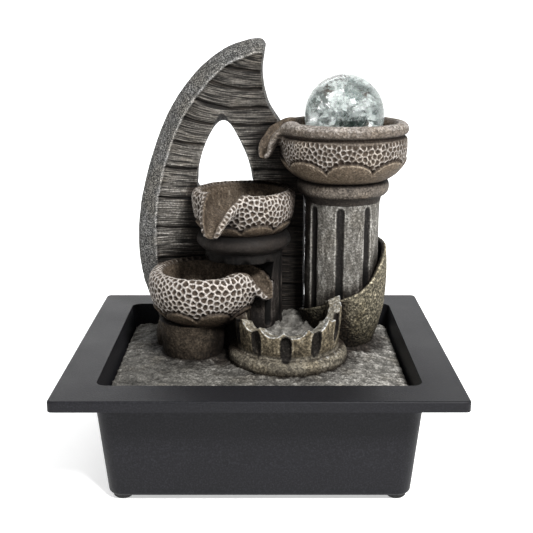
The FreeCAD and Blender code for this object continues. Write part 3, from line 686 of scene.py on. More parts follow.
def lower_bowl_shape():
    """Fields of the lower bowl, of its hollow, and of all the room it takes up to the open air."""
    base = corners("lower_bowl")[0][2]
    outer = lifted(smooth_path(LOW_OUTER, 6), base)
    closed = [(0, base - 0.3), (20, base - 0.3)] + outer + [(22.8, base + 26.5), (0, base + 26.5)]
    inner = turned(base, [(10, 13), (17, 14.5), (20.8, 18.5), (22.4, 25), (23.2, 34)], 6, 13, 34)
    x, y = LOW
    path = [(x + 10, y + 2.0, 107.4), (x + 19, y + 1.6, 106.2), (x + 27.5, y - 0.6, 103.2),
            (x + 34.0, y - 4.0, 99.2), (x + 37.4, y - 6.6, 94.8)]
    widths, depths, wall = [14.0, 13.0, 10.2, 6.4, 3.0], [6.4, 5.6, 4.6, 3.4, 2.0], 2.6
    field, hollow = bowl_fields(closed, inner, LOW, path, widths, depths, wall)
    filled = lathe([(0, base - 0.3), (20, base - 0.3)] + outer + [(24, base + 60), (0, base + 60)], LOW)
    lip, channel = trough(path, widths, depths, wall)
    room = lambda px, py, pz: np.maximum(np.minimum(np.minimum(filled(px, py, pz), lip(px, py, pz)),
            channel(px, py, pz) - 1.0), pz - 110.0)
    return field, hollow, room


def make_lower_bowl():
    low, high = corners("lower_bowl")
    field, hollow, _ = lower_bowl_shape()
    carve = carve_bowl(LOW, 32.4, hollow, 76, low[2] + 60, (8, 17.5, low[2] + 2.4, 7.4), 3.8, 53, 1.0)
    return solidify("bowl_lower", field, low - 2, high + 2, carve=carve)


# ---------------------------------------------------------------- columns
def column_field(axis, radius, count, first, groove, low, high, groove_low, groove_high, bore=0.0, foot=0.0):
    def field(x, y, z):
        r, angle = around_axis(x, y, axis)
        flare = foot * np.exp(-(z - low) / 3.5)
        side = r - radius - flare
        body = np.maximum(side, np.maximum(low - z, z - high))
        off, _ = fold(angle, count, first)
        dx, dy = r * np.sin(off), r * np.cos(off) - radius - 1.7
        dz = np.maximum(0, z - groove_high) * 0.8 + np.maximum(0, groove_low - z)
        body = cut(body, np.sqrt(dx ** 2 + dy ** 2 + dz ** 2) - groove, 1.1)
        return np.maximum(body, bore - r) if bore else body

    return field


def carve_column(axis, radius, seed, shade=0.0):
    def carve(x, y, z, normals):
        r = from_axis(x, y, axis)
        depth = radius - r
        grain = fbm(x / 1.6, y / 1.6, z / 6.0, 3, seed)
        height = 0.22 * rough(x, y, z, 7.0, seed) + 0.12 * grain
        # The flutes are darker, with a painted highlight as a light line along their edges.
        relief = 0.54 + 0.28 * grain - 0.58 * step(0.4, 1.2, depth) + 0.24 * bell(depth - 0.35, 0.22)
        # Darker towards the foot; shade darkens the part under the collar as painted shade.
        dark = step(0, 20, 24 - (z - z.min())) * 0.12 + shade * step(96, 108, z)
        return height, shades(x, relief - dark, 0.08 + 0.12 * step(0, 26, 30 - (z - z.min())))

    return carve


def make_columns():
    low, high = corners("main_column")
    shape = column_field(MAIN, MAIN_R, 8, -7, GROOVE_R, low[2], high[2], 70, high[2] - 4.5, BORE_R)
    main = solidify("column_main", shape, low - 2, high + 2, carve=carve_column(MAIN, MAIN_R, 5))
    low, high = corners("middle_column")
    shape = column_field(MID, MID_R, 10, 40, GROOVE_R, low[2], high[2] + 0.4, 74, high[2] - 7, foot=0.3)
    room = lower_bowl_shape()[2]
    mid = solidify("column_middle", lambda x, y, z: np.maximum(shape(x, y, z), 0.2 - room(x, y, z)),
            low - 2, high + 2, carve=carve_column(MID, MID_R, 6, 0.4))
    return main, mid


def carve_moulding(axis, ring_radius, brushed, seed):
    """Plain turned moulding whose widest ring is brushed lighter."""
    def carve(x, y, z, normals):
        r = from_axis(x, y, axis)
        grain = fbm(x / 2.0, y / 2.0, z / 1.2, 3, seed)
        relief = 0.36 + brushed * step(ring_radius - 2.6, ring_radius - 0.2, r) + 0.14 * grain
        return 0.2 * rough(x, y, z, 6, seed) + 0.08 * grain, shades(x, relief, 0.12)

    return carve


def make_mouldings():
    low, high = corners("main_capital")
    base = low[2]
    profile = turned(base, [(22.4, -0.2), (22.7, 1.6), (23.6, 3.4), (25.6, 4.6), (26.8, 6.4), (27.3, 8.9),
            (26.8, 11.4), (25.2, 13.1)], 6, -0.2, 13.1)
    shape = lathe(profile, MAIN)
    bored = lambda x, y, z: np.maximum(shape(x, y, z), BORE_R - from_axis(x, y, MAIN))
    capital = solidify("capital_main", bored, low - 1.5, high + 1.5,
            carve=carve_moulding(MAIN, 27.2, 0.34, 8))
    low, high = corners("middle_collar")
    base = low[2]
    profile = turned(base, [(23.4, -0.2), (25.4, 1.2), (27.4, 3.2), (28.1, 5.6), (27.4, 8.0), (25.6, 10.0),
            (23.6, 11.2)], 6, -0.2, 11.2)
    collar = solidify("collar_middle", lathe(profile, MID), low - 1.5, high + 1.5,
            carve=carve_moulding(MID, 28.1, 0.06, 9))
    return capital, collar


def make_pedestal():
    low, high = corners("lower_pedestal")
    base, tall = low[2], high[2] - low[2]
    profile = turned(base, [(16.6, 0), (17.4, 4), (18.0, 10), (18.8, 16), (19.3, 21), (19.9, tall + 0.3)],
            5, 0, tall + 0.3)
    shape = lathe(profile, PEDESTAL)
    # the stone swells to the left and back, where it runs into the foot of the fin
    swell = lambda x, y, z: np.sqrt((x + 50) ** 2 / 1.3 + (y - 26) ** 2 / 1.6 + (z - 60) ** 2 / 3.0) - 12.0

    def carve(x, y, z, normals):
        grain = fbm(x / 2.2, y / 2.2, z / 3.0, 3, 31)
        lump = rough(x, y, z, 8, 30)
        return 0.75 * lump + 0.3 * grain, shades(x, 0.26 + 0.22 * grain, 0.25)

    return solidify("pedestal_lower", lambda x, y, z: join(shape(x, y, z), swell(x, y, z), 5.0),
            low - (12, 2, 2), high + (2, 8, 1.5), carve=carve)


# ---------------------------------------------------------------- fin
FIN_OUTLINE = [(-58.0, 53.5), (-67.5, 74.0), (-74.2, 97.0), (-75.4, 120.0), (-73.0, 141.0), (-68.0, 161.0),
        (-62.0, 178.5), (-55.2, 194.0), (-47.0, 207.2), (-38.0, 218.2), (-28.6, 226.6),
        (-17.8, 233.2), (-6.0, 237.0)]
FIN_CREASE = [(-50.0, 53.5), (-57.5, 74.0), (-62.6, 97.0), (-64.2, 121.0), (-60.6, 152.0),
        (-47.0, 190.5), (-24.0, 219.5), (-3.0, 229.8)]
FIN_RIGHT = [(3.0, 231.5), (1.5, 218.0), (4.8, 201.0), (13.0, 187.5), (24.0, 166.0), (27.5, 146.0)]
HOLE_FRONT = [(-38.0, 150.0), (-37.6, 160.0), (-34.0, 173.5), (-29.0, 184.5), (-23.0, 194.6), (-16.5, 186.5),
        (-9.5, 174.0), (-4.8, 161.0), (-3.2, 150.0), (-7.0, 141.0), (-20.0, 136.0), (-33.0, 141.0)]
HOLE_BACK = [(-38.8, 150.0), (-37.8, 162.0), (-33.4, 175.6), (-27.6, 185.4), (-22.4, 188.2), (-17.6, 184.8),
        (-12.7, 175.8), (-7.6, 163.6), (-5.2, 150.0), (-9.0, 143.0), (-20.0, 139.0), (-33.0, 142.0)]
JOINTS = (70, 88, 106, 125.5, 144.5, 163, 178.8, 192.3, 202.6, 212.7, 221.5)


def fin_course(x, z):
    """Height of the course of stone a point of the face belongs to: courses droop, then level out."""
    crease = np.interp(z, [p[1] for p in FIN_CREASE], [p[0] for p in FIN_CREASE])
    t = np.maximum(x - crease, 0)
    slope = np.interp(z, [60, 120, 140, 160, 180, 195, 207, 230], [-.03, -.03, .05, .13, .24, .30, .24, .14])
    return z + slope * (22 * (1 - np.exp(-t / 16)) - 0.14 * np.maximum(t - 26, 0))


def make_fin():
    front, mid, back = FIN_LOW[1], FIN_LOW[1] + 8, FIN_HIGH[1]
    rise, crease = smooth_path(FIN_OUTLINE, 8), smooth_path(FIN_CREASE, 8)
    right = smooth_path(FIN_RIGHT, 6)
    tip = smooth_path([(-6.0, 237.0), (0.2, 237.3), (3.2, 234.6), (3.0, 231.5)], 4)[1:-1]
    whole = Outline(list(rise) + list(tip) + list(right) + [(27.5, 53.5)])
    face = Outline(list(crease) + list(right - (1.0, 0)) + [(26.5, 53.5)])
    edge_line = Outline(list(crease) + [(60, 229.8), (60, 53.5)])
    hole_front, hole_back = [Outline(smooth_path(h + h[:1], 6)) for h in (HOLE_FRONT, HOLE_BACK)]
    bowl_low = corners("middle_bowl")[0][2]
    in_bowl = lathe([(0, bowl_low)] + lifted(smooth_path(MID_OUTER, 4), bowl_low)
            + [(24.4, bowl_low + 26), (0, bowl_low + 26)], MID)

    def field(x, y, z):
        out, inner = whole(x, z), face(x, z)
        left = edge_line(x, z)
        t = np.clip(-out / np.maximum(-out + np.maximum(inner, 0), 1e-6), 0, 1)
        surface = mid - 8 * np.where(inner > 0, t, 1) ** 0.75
        surface = surface + 1.5 * step(0.5, 2.2, -left) + 0.055 * np.maximum(-left - 2, 0)
        body = -join(-np.maximum(out, surface - y), back - y, 1.0)
        inward = np.clip((y - front - 2) / (back - front - 2), 0, 1)
        hole = hole_front(x, z) * (1 - inward) + hole_back(x, z) * inward
        return np.maximum(cut(body, hole, 0.8), 0.6 - in_bowl(x, y, z))

    def carve(x, y, z, normals):
        facing = step(0.15, 0.6, -normals[:, 1])
        left = edge_line(x, z)
        on_face = facing * step(-0.2, 0.8, -left - 0.6)
        course = fin_course(x, z)
        joint = np.min([np.abs(course - j - 0.7 * noise(x / 9, x * 0, z / 30, 60 + n))
                for n, j in enumerate(JOINTS)], 0)
        width = 0.68 + 0.25 * noise(x / 6, z / 6, x * 0, 70)
        groove = bell(joint, width) * on_face
        stroke = noise(x / 15, 0 * x, course * 1.25, 71)
        ridge_line = bell(left + 0.1, 0.5) * facing
        height = on_face * 0.26 * stroke - 1.2 * groove + 0.35 * ridge_line
        height += 0.25 * rough(x, y, z, 5, 73) * (1 - 0.5 * on_face)
        relief = 0.5 - 0.75 * groove + on_face * 0.12 * stroke + 0.30 * ridge_line
        relief += 0.16 * bell(hole_front(x, z), 1.0) * facing
        # Painted shade: the combed face darker towards the top and towards the right, under the top bowl.
        shade = on_face * (0.04 - 0.22 * step(150, 222, z) - 0.10 * step(-20, 20, x))
        # Faces turned to the back are darker.
        behind = step(0.5, 0.9, normals[:, 1])
        stored = shades(x, relief + shade - 0.1 * behind, 0.03 + 0.07 * on_face,
                np.maximum(on_face, 0.65 * ridge_line))
        return height, {**stored, "course": course}

    cell = np.array([0.95, 0.8, 0.5]) * (VOXEL / FINE)
    return solidify("fin_crescent", field, FIN_LOW - 2, FIN_HIGH + 2, cell=cell, carve=carve)


# ---------------------------------------------------------------- horn, pool, plinth, deck
def horn_rim(x, y):
    """Height of the horn's rim, lowest at the left and rising round the front to the back."""
    angle = np.degrees(np.arctan2(x - MAIN[0], MAIN[1] - y))
    return np.interp(angle, [-110, -80, -55, -28, -8, 4, 21, 33, 44, 54, 70, 90, 120, 180],
            [74, 77, 80.5, 85, 88.6, 90.8, 94, 98, 103, 108, 113.5, 117.5, 119, 119])


def make_horn():
    low, high = corners("horn_shell")
    base = low[2]
    outer = smooth_path([(19.0, 0), (20.4, 5), (22.6, 12), (24.9, 20), (26.7, 30), (27.5, 42), (27.4, 54),
            (26.4, 66)], 6)
    body = lathe([(0, base)] + lifted(outer, base) + [(0, base + 66)], MAIN)
    hollow = lathe([(0, 76)] + [(r - 2.8, z + base) for r, z in outer if z > 20] + [(0, base + 70)], MAIN)

    def field(x, y, z):
        shell = cut(body(x, y, z), hollow(x, y, z), 1.2)
        shell = cut(shell, (horn_rim(x, y) - z) * 0.8, 1.2)
        behind = np.maximum(x - MAIN[0] + 3.5, MAIN[1] - y)
        shell = np.where(z > 76, np.maximum(shell, -np.maximum(behind, MAIN[1] - y)), shell)
        return np.maximum(shell, BORE_R - from_axis(x, y, MAIN))

    def carve(x, y, z, normals):
        outward = outwardness(x, y, normals, MAIN)
        f1, f2 = specks(x / 1.5, y / 1.5, z / 1.5, 81)
        ridge = 1 - step(0.05, 0.45, f2 - f1)
        outside = step(0.0, 0.3, outward)
        lip = bell(horn_rim(x, y) - z - 0.3, 0.7)
        height = outside * (0.35 * ridge - 0.2) + 0.25 * rough(x, y, z, 6, 82) + 0.2 * lip * outside
        relief = (0.30 + outside * 0.26 * ridge + 0.12 * lip * step(-28, 20, x - MAIN[0])
                  - 0.10 * (1 - outside))
        # Painted shade: the shell darker towards its foot and its left end.
        lit_amount = step(0, 30, z - base) * step(-27, -2, x - MAIN[0])
        return height, shades(x, relief * (0.55 + 0.45 * lit_amount), 0.24)

    return solidify("horn_shell_cast", field, (MAIN[0] - 29, MAIN[1] - 29, base - 0.5), high + 2, carve=carve)


def pool_rim(angle):
    """Height of the line that the cusps of the pool's wall reach."""
    deg = np.degrees(angle)
    return np.interp(deg, [-140, -100, -75, -33, -5, 22, 48, 74, 90, 120],
            [87, 87, 86, 83, 81.4, 82.6, 86, 91, 92, 92])


POOL_IN_R, POOL_FLOOR = 23.8, 64.5            # the basin of the pool
SCOOP_R, FLUTE_AT_R = 7.6, 30.6               # scallops of its rim, and its flutes


def make_pool():
    low, high = corners("front_pool")
    base = low[2]
    profile = turned(base, [(31.5, 0), (33.4, 3), (34.7, 6.5), (34.6, 9.2), (33.4, 11.4), (31.4, 12.6),
            (29.8, 13.2), (29.6, 15.0), (30.2, 22), (31.0, 30), (31.2, 44)], 6, 0, 44)
    shape = lathe(profile, POOL)
    scoops, first_cusp = math.radians(26.5), math.radians(-5.5)
    flute_pitch, first_flute = math.radians(34), math.radians(-3)

    def spread(angle, pitch, first):
        return np.mod(angle - first + pitch / 2, pitch) - pitch / 2

    def flute_field(r, angle, z, rim):
        side = r * np.sin(spread(angle, flute_pitch, first_flute))
        tall = np.abs((z - rim + 9.4) / 6.8) ** 3
        return (np.cbrt(np.abs(side / 2.7) ** 3 + tall + np.abs((r - FLUTE_AT_R) / 2.2) ** 3) - 1) * 2.0

    def field(x, y, z):
        r, angle = around_axis(x, y, POOL)
        solid = cut(shape(x, y, z), np.maximum(r - POOL_IN_R, POOL_FLOOR - z), 1.5)
        rim = pool_rim(angle)
        side = r * np.sin(spread(angle, scoops, first_cusp + scoops / 2))
        scoop = np.hypot(side, z - rim - 4.4 - 0.10 * (r - 31)) - SCOOP_R
        solid = np.maximum(solid, z - rim - 0.8)
        solid = cut(solid, np.where(r > 16, scoop, 5.0), 0.7)
        solid = cut(solid, flute_field(r, angle, z, rim), 0.7)
        return np.maximum(solid, y - POOL[1] - 10.5)

    def carve(x, y, z, normals):
        r, angle = around_axis(x, y, POOL)
        outward = outwardness(x, y, normals, POOL)
        rim = pool_rim(angle)
        grain = fbm(x / 1.8, y / 1.8, z / 1.8, 3, 91)
        streak = fbm(x / 1.6, y / 1.6, z / 7, 3, 94)
        floor = (r < 24) & (normals[:, 2] > 0.4) & (z < 70)
        # Painted highlight: faces of the rim that look up are lighter.
        top = step(0.30, 0.6, normals[:, 2]) * (z > rim - 7.5) * (r > 22.5)
        edge = bell(r - FLUTE_AT_R, 0.45) * (z > rim - 7) * step(-0.3, 0.3, normals[:, 2]) * step(
            -0.3, 0.4, outward)
        flute = flute_field(r, angle, z, rim)
        pit = step(0.7, 0.1, flute) * (outward > 0) * (r > 27) * (z < rim - 1)
        trim = bell(flute - 0.9, 0.35) * (outward > 0.3) * (z > 69)
        torus = step(68.5, 67.0, z) * (r > 29)
        # Painted highlight: a light line along the top of the torus.
        crown = bell(z - 65.6, 0.9) * (r > 29)
        relief = 0.30 + 0.30 * grain + 0.22 * streak * (1 - torus) + 0.22 * top + 0.26 * edge - 0.42 * pit
        relief += 0.22 * trim + torus * (0.14 * crown * (0.5 + streak) + 0.06) \
            + 0.3 * torus * fbm(x / 9, y / 9, z / 1.2, 2, 95)
        relief = np.where(floor, 0.42 + 0.30 * grain, relief)
        wash = np.where((outward > 0.4) & (z > 67.5), 0.5, 0.2) * (1 - top) * (1 - floor) * (1 - pit)
        ripple = np.where(floor, 0.9 * fbm(x / 4, y / 4, z / 4, 3, 93), 0)
        height = 0.25 * rough(x, y, z, 6, 92) + 0.14 * grain + ripple
        return height, shades(x, relief, wash)

    return solidify("pool_front", field, low - 2, high + (2, 2, 2), carve=carve)


def make_plinth():
    low, high = corners("rock_plinth")

    def field(x, y, z):
        top = 69.0 + 3.0 * noise(x / 9, y / 9, z * 0, 101) + 1.6 * noise(x / 3.5, y / 3.5, z * 0, 102) \
            + 0.10 * (y - 10)
        across = np.maximum(low[0] + 1 - x, x - high[0] + 1)
        deep = np.maximum(low[1] + 1.5 - y, y - high[1] + 1)
        side = np.maximum(across, deep) + 1.5 * noise(x / 6, y / 6, z / 5, 103)
        return np.maximum(side, (z - top) * 0.8)

    def carve(x, y, z, normals):
        grain = fbm(x / 2.2, y / 2.2, z / 2.2, 3, 104)
        return 0.9 * grain, shades(x, 0.45 + 0.35 * grain, 0.10)

    return solidify("plinth_rock", field, low - (2, 2, 1), high + 2, carve=carve)


# places, sizes and heights of the lumps on the deck
DECK_LUMPS = ((8, -55, 5.0, 2.4), (17, -52, 6.5, 1.8), (30, -55, 4.0, 1.2), (43, -50, 5.5, 2.6),
        (39, -56, 3.4, 1.8), (-16, -54, 5.0, 1.2), (60, -44, 5, 1.0), (56, 2, 7, 2.2))


def make_deck():
    cell = 0.8
    half = (DECK_HIGH - DECK_LOW) / 2
    edge_top = DECK_HIGH[2] - 3

    def field(x, y, z):
        dx, dy = np.abs(x) - half[0] + 10, np.abs(y) - half[1] + 10
        side = np.hypot(np.maximum(dx, 0), np.maximum(dy, 0)) + np.minimum(np.maximum(dx, dy), 0) - 10
        inset = np.clip(-side / 14, 0, 1)
        top = edge_top + 3 * inset ** 0.7
        dip = np.maximum(z - top, DECK_LOW[2] - z)
        pocket = np.maximum(side + 7, z - edge_top + 4)
        return np.maximum(cut(np.maximum(side, dip), pocket, 1.0),
                BORE_R - from_axis(x, y, MAIN))

    def carve(x, y, z, normals):
        up = step(0.3, 0.8, normals[:, 2]) * (z > DECK_LOW[2] + 6)
        near = np.full(len(x), 99.0)
        for cx, cy, r in ((PEDESTAL[0], PEDESTAL[1], 19), (POOL[0], POOL[1], 34.5), (MAIN[0], MAIN[1], 20)):
            near = np.minimum(near, np.abs(np.hypot(x - cx, y - cy) - r))
        swirl = fbm((x + 7 * noise(x / 13, y / 13, 0 * x, 111)) / 5.5,
                    (y + 7 * noise(x / 13, y / 13, 0 * x, 112)) / 2.6, z / 9, 4, 113)
        fine = fbm(x / 1.7, y / 1.7, z / 1.7, 2, 114)
        lumps = 0.0
        for cx, cy, size, tall in DECK_LUMPS:
            lumps = lumps + tall * np.exp(-(((x - cx) / size) ** 2 + ((y - cy) / (size * 0.55)) ** 2))
        height = up * (1.15 * swirl + 0.45 * fine + lumps + 1.3 * bell(near, 3.0))
        height = np.minimum(height, DECK_HIGH[2] + 3.2 - z)
        # Painted shadow: darker at the left front; painted light: lighter at the right.
        relief = 0.50 + up * (0.36 * swirl + 0.36 * fine) + 0.10 * np.minimum(lumps, 1) \
            - 0.16 * step(-28, -58, x) * step(50, -10, y) + 0.08 * step(30, 60, x)
        return height, shades(x, relief, 0.10)

    return solidify("deck_stone", field, DECK_LOW - 2, DECK_HIGH + 2, cell=cell, carve=carve)


# ---------------------------------------------------------------- dark wash and soft shade in the recesses
def blur(grid, reach):
    """Mean over a cube of cells, twice."""
    for _ in range(2):
        for axis in range(3):
            padded = np.pad(grid, [(reach + 1, reach) if k == axis else (0, 0) for k in range(3)])
            total = np.cumsum(padded, axis)
            ahead = np.take(total, range(2 * reach + 1, total.shape[axis]), axis)
            behind = np.take(total, range(0, total.shape[axis] - 2 * reach - 1), axis)
            grid = (ahead - behind) / (2 * reach + 1)
    return grid


def wash_and_shade_recesses(pieces, cell=2.0, margin=24.0):
    """Stores on each casting how closed in each point is, for the dark wash that lies in recesses and the
    painted shade it also stands for there.
    """
    clouds = []
    for obj in pieces:
        flat = np.empty(len(obj.data.vertices) * 3, np.float32)
        obj.data.vertices.foreach_get("co", flat)
        facing = np.empty_like(flat)
        obj.data.vertex_normals.foreach_get("vector", facing)
        clouds.append((flat.reshape(-1, 3) / MM, facing.reshape(-1, 3)))
    everything = np.vstack([points for points, _ in clouds])
    low = everything.min(0) - margin
    count = np.ceil((everything.max(0) + margin - low) / cell).astype(int)
    index = ((everything - low) / cell).astype(int)
    flat = (index[:, 0] * count[1] + index[:, 1]) * count[2] + index[:, 2]
    full = np.clip(np.bincount(flat, minlength=count.prod()).reshape(count) * (VOXEL / FINE) ** 2 / 9.0, 0, 1)
    near, far = blur(full, 2), blur(full, 5)
    for obj, (points, facing) in zip(pieces, clouds):
        value = 0.0
        for grid, reach, weight in ((near, 7.0, 0.45), (far, 16.0, 0.55)):
            at = ((points + facing * reach - low) / cell).astype(int)
            value = value + weight * grid[at[:, 0], at[:, 1], at[:, 2]]
        inner = np.empty(len(points), np.float32)
        obj.data.attributes["inner"].data.foreach_get("value", inner)
        thin = inner if obj.name.startswith("bowl") else obj.name.startswith("plinth")
        # the more closed in, the darker: dark wash and painted shade; less of it inside the bowls and on the
        # rock
        value = step(0.02, 0.20, value) * (1 - 0.6 * thin)
        layer = obj.data.attributes.new("wash_and_shade", "FLOAT", "POINT")
        layer.data.foreach_set("value", value.astype(np.float32))


# ---------------------------------------------------------------- glass ball
def make_ball():
    """Clear ball, and the cracked flakes inside it."""
    rows, columns = 48, 96
    polar = np.linspace(0, math.pi, rows + 1)[:, None]
    turn = np.linspace(0, 2 * math.pi, columns, endpoint=False)[None, :]
    radius = BALL_R - 0.05
    points = np.stack([radius * np.sin(polar) * np.cos(turn), radius * np.sin(polar) * np.sin(turn),
            radius * np.cos(polar) + 0 * turn], 2).reshape(-1, 3)
    i, j = np.meshgrid(np.arange(rows), np.arange(columns), indexing="ij")
    nxt = (j + 1) % columns
    quads = np.stack([i * columns + j, (i + 1) * columns + j, (i + 1) * columns + nxt, i * columns + nxt],
            2).reshape(-1, 4)
    shell = as_mesh("ball_glass", points + BALL, quads)
    return shell, make_flakes()


def make_flakes(count=190, rings=3, spokes=9):
    generator = np.random.default_rng(17)
    points, quads, tones = [], [], []
    for n in range(count):
        direction = generator.normal(size=3)
        direction /= np.linalg.norm(direction)
        centre = direction * BALL_R * 0.90 * generator.random() ** 0.42
        if n < 16:
            centre = np.array([4.5, -16.0, -1.5]) + generator.normal(size=3) * (4.2, 2.0, 2.0)
        normal = generator.normal(size=3)
        normal /= np.linalg.norm(normal)
        side = np.cross(normal, direction)
        side /= np.linalg.norm(side)
        other = np.cross(normal, side)
        reach = generator.uniform(2.5, 6.5)
        bend, twist = generator.uniform(-0.09, 0.09, 2)
        start = len(points)
        for ring in range(rings + 1):
            for spoke in range(spokes):
                a = 2 * math.pi * (spoke + 0.35 * generator.random()) / spokes
                r = reach * ring / rings * (1 if ring < rings else generator.uniform(0.75, 1.15))
                u, v = r * math.cos(a), r * math.sin(a) * 0.7
                p = centre + side * u + other * v + normal * (bend * u * u + twist * u * v)
                length = np.linalg.norm(p)
                points.append(p * min(1, BALL_R * 0.95 / max(length, 1e-6)))
                tones.append((n * 0.618) % 1.0 if n >= 16 else -0.5)
        for ring in range(rings):
            for spoke in range(spokes):
                a, b = start + ring * spokes + spoke, start + ring * spokes + (spoke + 1) % spokes
                quads.append((a, a + spokes, b + spokes, b))
    return as_mesh("ball_flakes", np.array(points) + BALL, np.array(quads), {"tone": np.array(tones)})


# ---------------------------------------------------------------- finishes
def srgb(red, green, blue):
    """Linear colour from screen values 0..255."""
    return tuple((c / 255 / 12.92) if c / 255 < 0.04045 else ((c / 255 + 0.055) / 1.055) ** 2.4
            for c in (red, green, blue))


def fin_stone():
    """Stippled blue-grey band and finely combed face, told apart by the inner attribute."""
    material = stone_finish("fin_stone_cast", (26, 23, 20), (80, 78, 75), (136, 134, 131), 0.2, 260.0, None)
    tree = material.node_tree
    shader, base = shader_and_base(tree)
    course = attribute_node(tree, "course")
    face = attribute_node(tree, "inner")
    where = tree.nodes.new("ShaderNodeTexCoord")
    split = tree.nodes.new("ShaderNodeSeparateXYZ")
    tree.links.new(where.outputs["Object"], split.inputs[0])
    along = math_node(tree, "MULTIPLY", split.outputs[0], 55.0)
    rows = math_node(tree, "MULTIPLY", course, 1.75)
    together = tree.nodes.new("ShaderNodeCombineXYZ")
    tree.links.new(along, together.inputs[0])
    tree.links.new(rows, together.inputs[2])
    strokes = tree.nodes.new("ShaderNodeTexNoise")
    strokes.inputs["Scale"].default_value = 1.0
    strokes.inputs["Detail"].default_value = 3.0
    strokes.inputs["Roughness"].default_value = 0.65
    tree.links.new(together.outputs[0], strokes.inputs["Vector"])
    brushed = ramp_node(tree, strokes.outputs[0], [(0.40, even(0.12)), (0.49, even(0.62)),
            (0.58, even(2.5))])
    comb = math_node(tree, "MULTIPLY", strokes.outputs[0], face)
    speck = noise_node(tree, 1250.0, 2.0, 0.7)
    stipple = ramp_node(tree, speck.outputs[0], [(0.38, (0.12, 0.13, 0.14)), (0.50, (0.80, 0.84, 0.90)),
            (0.62, (2.5, 2.6, 2.7))])
    grey = mix_node(tree, face, stipple.outputs[0], brushed.outputs[0])
    tree.links.new(mix_node(tree, 1.0, base, grey, "MULTIPLY"), shader.inputs["Base Color"])
    plain = math_node(tree, "SUBTRACT", 1.0, face)
    pimples = math_node(tree, "MULTIPLY", speck.outputs[0], plain)
    relief = math_node(tree, "ADD", math_node(tree, "MULTIPLY", comb, 1.6), pimples)
    bump = bump_node(tree, relief, 0.9, 0.0006)
    tree.links.new(bump.outputs[0], shader.inputs["Normal"])
    return material


def stippled(material, scale, low, high, strength):
    """Adds a coarse light and dark speckle to a stone finish."""
    tree = material.node_tree
    shader, base = shader_and_base(tree)
    speck = noise_node(tree, scale, 3.0, 0.6)
    stipple = ramp_node(tree, speck.outputs[0], [(0.38, even(low)), (0.52, even(1.0)), (0.66, even(high))])
    tree.links.new(mix_node(tree, 1.0, base, stipple.outputs[0], "MULTIPLY"), shader.inputs["Base Color"])
    bump = bump_node(tree, speck.outputs[0], strength, 0.0007)
    tree.links.new(bump.outputs[0], shader.inputs["Normal"])
    return material


def flake_finish():
    material, tree, shader = new_material("crackle_flakes")
    tone = attribute_node(tree, "tone")
    texture = noise_node(tree, 330.0, 5.0, 0.75)
    level = math_node(tree, "ADD", math_node(tree, "MULTIPLY", tone, 0.65),
            math_node(tree, "MULTIPLY", texture.outputs[0], 0.5))
    colours = ramp_node(tree, level, [(0.20, srgb(70, 84, 80)), (0.36, srgb(170, 184, 180)),
            (0.55, srgb(232, 238, 236))])
    tree.links.new(colours.outputs[0], shader.inputs["Base Color"])
    alpha = ramp_node(tree, texture.outputs[0], [(0.44, even(0.05)), (0.54, even(0.92))])
    tree.links.new(alpha.outputs[0], shader.inputs["Alpha"])
    shader.inputs["Roughness"].default_value = 0.12
    shader.inputs["Specular IOR Level"].default_value = 0.9
    return material


# recess, body and ridge colours, amount of ochre, scale of the mottle, then the stipple's scale, dark, light
# and strength
STONES = {
    "bowl_stone_cast": ((48, 39, 33), (90, 83, 76), (156, 151, 147), 0.2, 260.0, (850.0, 0.55, 1.45, 0.6)),
    "cast_stone_grey": ((22, 20, 19), (84, 82, 78), (146, 145, 142), 0.15, 600.0, (950.0, 0.6, 1.5, 0.6)),
    # The shaded and deep stones are darker copies of the grey stone for the capital, the middle column and
    # its collar, which lie under the bowls: painted shade.
    "cast_stone_shaded": ((18, 16, 15), (54, 49, 45), (106, 100, 94), 0.3, 260.0, (950.0, 0.6, 1.5, 0.6)),
    "cast_stone_deep_shade": ((14, 13, 12), (40, 36, 34), (80, 76, 73), 0.2, 260.0, None),
    "pedestal_stone_cast": ((26, 22, 19), (92, 84, 75), (138, 131, 120), 0.3, 260.0, (850.0, 0.6, 1.5, 0.7)),
    "rock_stone_cast": ((44, 43, 41), (112, 111, 108), (160, 159, 157), 0.2, 260.0, None),
    "pool_stone_cast": ((30, 27, 24), (122, 118, 108), (174, 177, 180), 0.35, 260.0, (800.0, 0.45, 1.6, 0.6)),
    "horn_stone_cast": ((24, 22, 18), (98, 95, 84), (156, 151, 137), 0.4, 260.0, (700.0, 0.28, 2.3, 0.9)),
    "deck_stone_cast": ((38, 37, 35), (97, 96, 93), (148, 147, 144), 0.2, 260.0, (950.0, 0.55, 1.6, 0.7)),
}


def stone_finish(name, recess, body, ridge, ochre_amount, mottle, stipple):
    material = cast_stone(name, srgb(*recess), srgb(*body), srgb(*ridge), ochre_amount, mottle)
    return stippled(material, *stipple) if stipple else material


